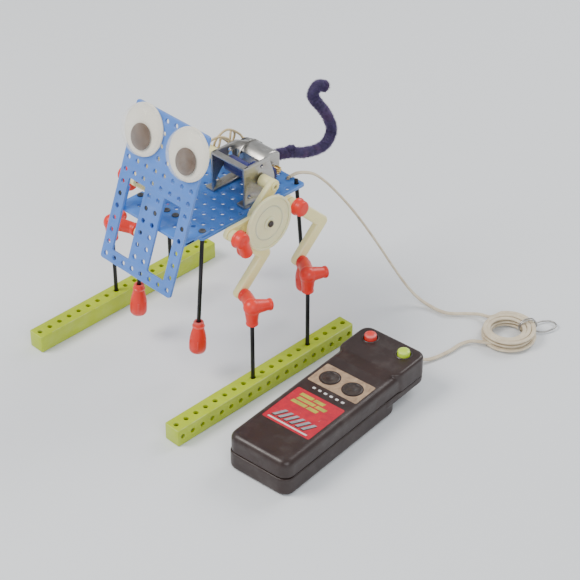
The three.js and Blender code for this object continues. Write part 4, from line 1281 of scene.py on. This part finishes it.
def foot_connector_mesh(side, ankle, rod_y):
    x = side * RAIL["x"]
    hub = Vector((x, rod_y, FOOT["z"]))
    shoulder = Vector((side * (LEG["outer"] + 4), *ankle))
    face = Vector((side * (LEG["outer"] + 0.15), *ankle))
    pin_end = Vector((side * (LEG["inner"] - 0.3), *ankle))
    spur = Vector((x + side * 4, rod_y + 12.5, FOOT["z"] - 2))

    def build(shape):
        shape.lathe([(5.4 * math.sin(math.pi * i / 12), -5.4 * math.cos(math.pi * i / 12), 0)
                     if 0 < i < 12 else (0, -5.4 if i == 0 else 5.4, 0) for i in range(13)], 28,
                    Matrix.Translation(hub))
        bar_shape(shape, (x, rod_y, FOOT["socket"]), hub, 3.4, 28, 0.4, 4.9)
        bar_shape(shape, (x, rod_y, FOOT["socket"]), (x, rod_y, FOOT["socket"] + 2), 3.9, 28, 0.5)
        bar_shape(shape, hub, shoulder, 4.6, 28, 0.4, 4.0)
        bar_shape(shape, face, shoulder, 4.3, 28, 0.5)
        bar_shape(shape, pin_end, shoulder, ROD_R, 16, 0.3)
        bar_shape(shape, hub, spur, 5.0, 28, 0.5, 3.2)
        bar_shape(shape, hub.lerp(spur, 0.84), spur, 3.9, 28, 0.5)
    return blended(build)


def ski_frame(side, label):
    hip_bar(side, label)
    for end, hip, index in zip(("front", "rear"), hips(), ROD_HOLES):
        ankle = leg(side, label, end, hip)
        rod_y = rail_y(index)
        body = f"ski_{label}"
        mesh = moved(hip_connector_mesh(side, hip, end == "front"), ROBOT)
        finish(f"hip_connector_{end}_{label}_moulding", mesh, RED, body,
               (f"hip_connector_{end}_{label}",), 60)
        mesh = moved(foot_connector_mesh(side, ankle, rod_y), ROBOT)
        finish(f"foot_connector_{end}_{label}_moulding", mesh, RED, body,
               (f"foot_connector_{end}_{label}",), 60)
        x = side * RAIL["x"]
        rod = bar_shape(Shape(), (x, rod_y, 3), (x, rod_y, FOOT["rod_top"]), ROD_R, 20, 0.25)
        made_of(f"ski_rod_{end}_{label}_bar", rod, BLACK_ROD, body, (f"ski_rod_{end}_{label}",))


def rail(side, label):
    """An inverted channel with closed ends, and chamfered holes along its top and outer side."""
    half = RAIL["holes"] * PITCH / 2
    s = RAIL["size"] / 2
    inner = s - RAIL["wall"]
    body = Shape().slab([rectangle(-s, s, -half, half, 0.9, 4)], soft_edges(0, RAIL["size"], 0.55, 3))
    hollow = Shape().slab([rectangle(-inner, inner, -half + 2, half - 2, 0.6, 3)],
                          [(0, -1, 0), (0, RAIL["size"] - RAIL["top"], 0)])
    for k in range(RAIL["holes"]):
        y = rail_y(k)
        profile = [(0, -1.2, 0), (1.6, -1.2, 0), (1.6, RAIL["top"] - 0.3, 0), (2.6, RAIL["top"] + 0.7, 0),
                   (0, RAIL["top"] + 0.7, 0)]
        hollow.lathe(profile, 16, shifted(0, y, RAIL["size"] - RAIL["top"]))
        turn = Matrix.Rotation(side * math.pi / 2, 4, "Y")
        hollow.lathe(profile, 16, shifted(side * (s - RAIL["top"]), y, s) @ turn)
    mesh = minus(body.mesh("rail"), hollow.mesh("cutter"))
    mesh.transform(ROBOT @ shifted(side * RAIL["x"], 0, 0))
    finish(f"rail_{label}_moulding", mesh, LIME, f"ski_{label}", (f"rail_{label}",), 30)


def posts():
    """Four plain rods through the body plate, leaning outward, each in a soft tapered tip."""
    low, top = POST["tip_bottom"], POST["tip_top"]
    profile = [(0, low, 0), (3.6, low, 0), (4.6, low + 0.35, 0.6), (5.25, low + 1.3, 1),
               (5.5, low + 2.8, 0.4), (5.48, low + 6, 0), (5.25, low + 10, 0),
               (4.6, low + 13.4, 0), (3.9, low + 16, 0), (3.55, top - 4.4, 0),
               (3.5, top - 4.0, 0), (3.95, top - 3.6, 1), (4.0, top - 2.9, 1),
               (3.5, top - 2.5, 0), (3.35, top - 2.2, 0), (3.3, top - 0.5, 0.3),
               (3.0, top, 1), (1.75, top, 0.5), (1.4, top - 0.4, 0), (1.4, top - 10, 0),
               (0, top - 10, 0)]
    for side, label in SIDES:
        for end, y, outward in zip(("front", "rear"), POST["y"], (-1, 1)):
            lean = Matrix.Rotation(outward * math.radians(POST["lean"]), 4, "X")
            through = shifted(side * POST["x"], y, BODY["top"])
            upright = through @ lean @ shifted(0, 0, -BODY["top"])
            place = ROBOT @ upright
            rod = bar_shape(Shape(), (0, 0, top - 9.7), (0, 0, POST["top"]), ROD_R, 20, 0.25)
            made_of(f"post_{end}_{label}_bar", rod, BLACK_ROD, "frame", (f"post_{end}_{label}",),
                    place=place)
            tip = Shape().lathe(profile, 32)
            for k in range(6):
                turn = Matrix.Rotation(math.pi * k / 3 + 0.3, 4, "Z")
                rib = turn @ shifted(5.15, 0, low + 3)
                tip.slab([rectangle(-0.5, 0.5, -0.5, 0.5, 0.2, 2)], soft_edges(0, 7, 0.3, 2), rib)
            made_of(f"tip_{end}_{label}_moulding", tip, RED, "frame", (f"tip_{end}_{label}",),
                    place=place)


# ---------------------------------------------------------------- hand control
def shell(shape, outline, opening, closed, edge):
    """A tray with walls of one thickness: open at one height, closed and rounded at the other."""
    sign = 1 if closed > opening else -1
    wall = REMOTE["wall"]
    levels = [(wall + 0.6, closed - sign * wall, 0), (wall, closed - sign * (wall + 1), 0),
              (wall, opening, 0), (0.35, opening, 0), (0, opening + sign * 0.35, 0)]
    for i in range(6):
        angle = math.pi / 2 * i / 5
        levels.append((edge * (1 - math.cos(angle)), closed - sign * edge * (1 - math.sin(angle)), 0))
    shape.slab([outline], levels)


def remote_shells():
    half, front, rear, split = REMOTE["half"], REMOTE["front"], REMOTE["rear"], REMOTE["split"]
    start, top, under = REMOTE_HEAD["start"], REMOTE_HEAD["top"], REMOTE_HEAD["under"]
    body_top = REMOTE["top"]
    upper = Shape()
    shell(upper, rectangle(-half + 0.4, half - 0.4, front + 0.5, rear - 1, 7, 8), split + 0.1,
          body_top, 4.2)
    shell(upper, rectangle(-half - 0.5, half + 0.5, start, rear, 6.5, 8), split + 0.1, top + 0.5,
          1.9)
    ramp = [(start - 8, body_top - 2), (start + 4, body_top - 2), (start + 4, top + 0.3),
            (start + 1, top + 0.3), (start - 5, body_top + 0.1)]
    upper.slab([ramp], [(0, -half + 4, 0), (0, half - 4, 0)], ACROSS)
    upper_mesh = upper.mesh("upper")
    wells = Shape()
    for side in (-1, 1):
        wells.lathe([(0, 20, 0), (BUTTON["r"] + 0.5, 20, 0), (BUTTON["r"] + 0.5, 32, 0), (0, 32, 0)],
                    28, shifted(side * BUTTON["x"], BUTTON["y"], 0))
    fused = applied(upper_mesh, ("REMESH", {"mode": "VOXEL", "voxel_size": 0.55}),
                    ("SMOOTH", {"factor": 0.5, "iterations": 5}))
    finish("remote_upper_shell", moved(minus(fused, wells.mesh("wells")), CONTROL), BROWN, "frame",
           ("remote_top",), sharp=50)
    lower = Shape()
    shell(lower, rectangle(-half, half, front, start + 2, 7, 8), split - 0.1, 0, 2.2)
    shell(lower, rectangle(-half - 0.3, half + 0.3, start - 14, rear, 6.5, 8), split - 0.1, under,
          1.6)
    opening = Shape().slab([rectangle(-17.1, 17.1, -48.1, 8.1, 1.5)], [(0, -2, 0), (0, 3.4, 0)])
    cut_mesh = minus(lower.mesh("lower"), opening.mesh("opening"))
    fused = applied(cut_mesh, ("REMESH", {"mode": "VOXEL", "voxel_size": 0.55}),
                    ("SMOOTH", {"factor": 0.5, "iterations": 4}))
    finish("remote_lower_shell", moved(fused, CONTROL), BROWN, "frame", ("remote_bottom",),
           sharp=50)


def battery_door():
    shape = Shape()
    shape.slab([rectangle(-16.8, 16.8, -47.8, 7.8, 1.4)], soft_edges(0.15, 2, 0.3))
    for i in range(6):
        y = -40 + 2.6 * i
        shape.slab([rectangle(-6 + i * 0.6, 6 - i * 0.6, y - 0.55, y + 0.55, 0.3)],
                   soft_edges(0.02, 0.6, 0.2))
    made_of("battery_door", shape, BROWN, "frame", ("battery_cover",), place=CONTROL)


def print_paint(name, colour, other, scale=160.0):
    """Printed film: mottled ink, scuffed here and there."""
    return mottled(name, (scale, 5, 0.65, None, 0.6), (0.35, 0.68), (colour, other), (0.27, 0.44),
                   ((1800, 2), 0.2, 0.00004),
                   ((420, 4, 0.7), (0.64, 0.78, 0, 0.4), (0.55, 0.5, 0.45, 1))).material


def flat_print(name, loops, material, layer):
    """Thin printed film on the hand control's top, each layer above the last."""
    low = REMOTE["top"] - 0.06
    shape = Shape()
    for loop in loops:
        shape.slab([loop], [(0, low, 0), (0, low + 0.10 + 0.05 * layer, 0)])
    made_of(name, shape, material, "frame", place=CONTROL)


def slanted(x0, x1, y0, y1, lean):
    return [(x0, y0), (x1, y0), (x1 + lean, y1), (x0 + lean, y1)]


def prints():
    red = print_paint("label_red", (0.56, 0.012, 0.03, 1), (0.40, 0.008, 0.03, 1))
    tan = print_paint("panel_bronze", (0.46, 0.32, 0.20, 1), (0.25, 0.16, 0.10, 1), 240)
    dark = print_paint("print_dark", (0.022, 0.014, 0.012, 1), (0.055, 0.038, 0.03, 1), 300)
    white = print_paint("print_white", (0.72, 0.70, 0.68, 1), (0.55, 0.52, 0.50, 1), 300)
    yellow = print_paint("print_yellow", (0.50, 0.46, 0.05, 1), (0.28, 0.32, 0.05, 1), 300)
    grey = print_paint("print_grey", (0.34, 0.35, 0.38, 1), (0.20, 0.21, 0.23, 1), 300)
    flat_print("label_film", [rectangle(-18, 18, -44.5, -10, 1.2)], red, 0)
    flat_print("panel_film", [rectangle(-18.8, 18.8, -1, 18.8, 1)], tan, 0)
    bars = []
    for row, (start, long) in enumerate(((-13, 9.5), (-12.2, 13), (-13.6, 11))):
        y = -15.6 - 3.9 * row
        bars.append(slanted(start, start + long, y, y + 2.7, 0.7))
        bars.append(slanted(start + long + 1, start + long + 8.5, y, y + 2.7, 0.7))
    flat_print("label_bars_yellow", bars, yellow, 1)
    stripes, shadows = [], []
    for i in range(6):
        x = -14.2 + 4.4 * i
        stripes.append(slanted(x, x + 2.3, -39.4, -31.8, 4.2))
        shadows.append(slanted(x - 0.4, x + 2.7, -40.3, -32.6, 4.2))
    flat_print("label_stripe_shadows", shadows, dark, 1)
    flat_print("label_stripes_grey", stripes, grey, 2)
    flat_print("label_line_white", [slanted(-15, 14.6, -42.8, -41.7, 0.3)], white, 3)
    flat_print("panel_dashes", [rectangle(x - 1.1, x + 1.1, -5.9, -4.2, 0.5)
                                for x in (-10, -5.6, -1.2, 3.2, 7.6, 12)], white, 1)
    dials = Shape()
    for side in (-1, 1):
        at = shifted(side * DIAL["x"], DIAL["y"], REMOTE["top"])
        dials.lathe([(0, -0.3, 0), (6.1, -0.3, 0), (6.1, 0.35, 1), (5.8, 0.5, 1), (5.3, 0.5, 0),
                     (5.0, 0.2, 0), (2.2, 0.15, 0), (1.9, 0.3, 0.5), (0, 0.35, 0)], 36, at)
    made_of("panel_dials", dials, dark, "frame", place=CONTROL)
    rims = Shape()
    for side in (-1, 1):
        place = shifted(side * DIAL["x"], DIAL["y"], 0)
        rims.slab([circle(0, 0, 6.9, 40), hole(0, 0, 6.15, 40)],
                  [(0, REMOTE["top"] - 0.1, 0), (0, REMOTE["top"] + 0.12, 0)], place)
    made_of("panel_dial_rims", rims, BROWN, "frame", place=CONTROL)


def push_buttons():
    for side, label, material in ((-1, "red", RED), (1, "green", GREEN)):
        radius, top = BUTTON["r"], BUTTON["top"]
        profile = [(0, 22.4, 0), (radius + 1.3, 22.4, 0), (radius + 1.3, 24.2, 0), (radius, 24.2, 0),
                   (radius, top - 1.5, 0.2), (radius - 0.25, top - 0.7, 1), (radius - 0.9, top - 0.2, 1),
                   (radius - 1.9, top, 0.3), (0, top + 0.12, 0)]
        at = shifted(side * BUTTON["x"], BUTTON["y"], 0)
        shape = Shape().lathe(profile, 36, at)
        made_of(f"push_button_{label}", shape, material, f"button_{label}", (f"button_{label}",),
                place=CONTROL)
    collars = Shape()
    for side in (-1, 1):
        at = shifted(side * BUTTON["x"], BUTTON["y"], REMOTE_HEAD["top"] + 0.35)
        r = BUTTON["r"]
        collars.lathe([(r + 0.45, -0.6, 0), (r + 1.6, -0.6, 0), (r + 1.5, 0.25, 0.4),
                       (r + 1.1, 0.6, 1), (r + 0.6, 0.5, 0.6), (r + 0.45, 0.1, 0),
                       (r + 0.45, -0.6, 0)], 36, at)
    made_of("button_collars", collars, BROWN, "frame", place=CONTROL)


def strain_relief():
    """A ribbed sleeve that tapers from the hand control's end down along the cord."""
    start, ahead = Vector(CORD_TO_REMOTE[-1]), Vector(CORD_TO_REMOTE[-2])
    heading = (ahead - start).normalized()
    profile = [(0, -1.5, 0), (3.2, -1.5, 0), (3.2, 0.6, 1)]
    for i in range(5):
        z = 1.2 + 1.5 * i
        r = 2.9 - 0.16 * i
        profile += [(r, z, 0.6), (r, z + 0.7, 0.6), (r - 0.4, z + 0.9, 0), (r - 0.4, z + 1.3, 0)]
    profile += [(1.9, 9.0, 0.5), (1.4, 9.2, 0), (0, 9.2, 0)]
    shape = Shape().lathe(profile, 24, turned_to(start - heading * 0.5, heading))
    made_of("cord_sleeve", shape, BROWN, "frame", ())


def cell_paint():
    """The cells' sleeve, seen only with the door off: dark, with copper patches."""
    paint = mottled("cell_sleeve", (200, 4), (0.3, 0.7),
                    ((0.05, 0.05, 0.055, 1), (0.30, 0.16, 0.07, 1)), (0.25, 0.4),
                    ((1200, 2), 0.2, 0.00004))
    return paint.set(Metallic=0.6).material


neck_bracket()
rivets()
eyes()
tail()
drive_gear()
lay_gear()
pinion()
gearbox()
motor()
leads()
crank_axle()
for side, label in SIDES:
    crank_arm(side, label)
    crank_disc(side, label)
    ski_frame(side, label)
    rail(side, label)
posts()
remote_shells()
battery_door()
prints()
push_buttons()
strain_relief()
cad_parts["batteries"].data.materials.clear()
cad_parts["batteries"].data.materials.append(cell_paint())
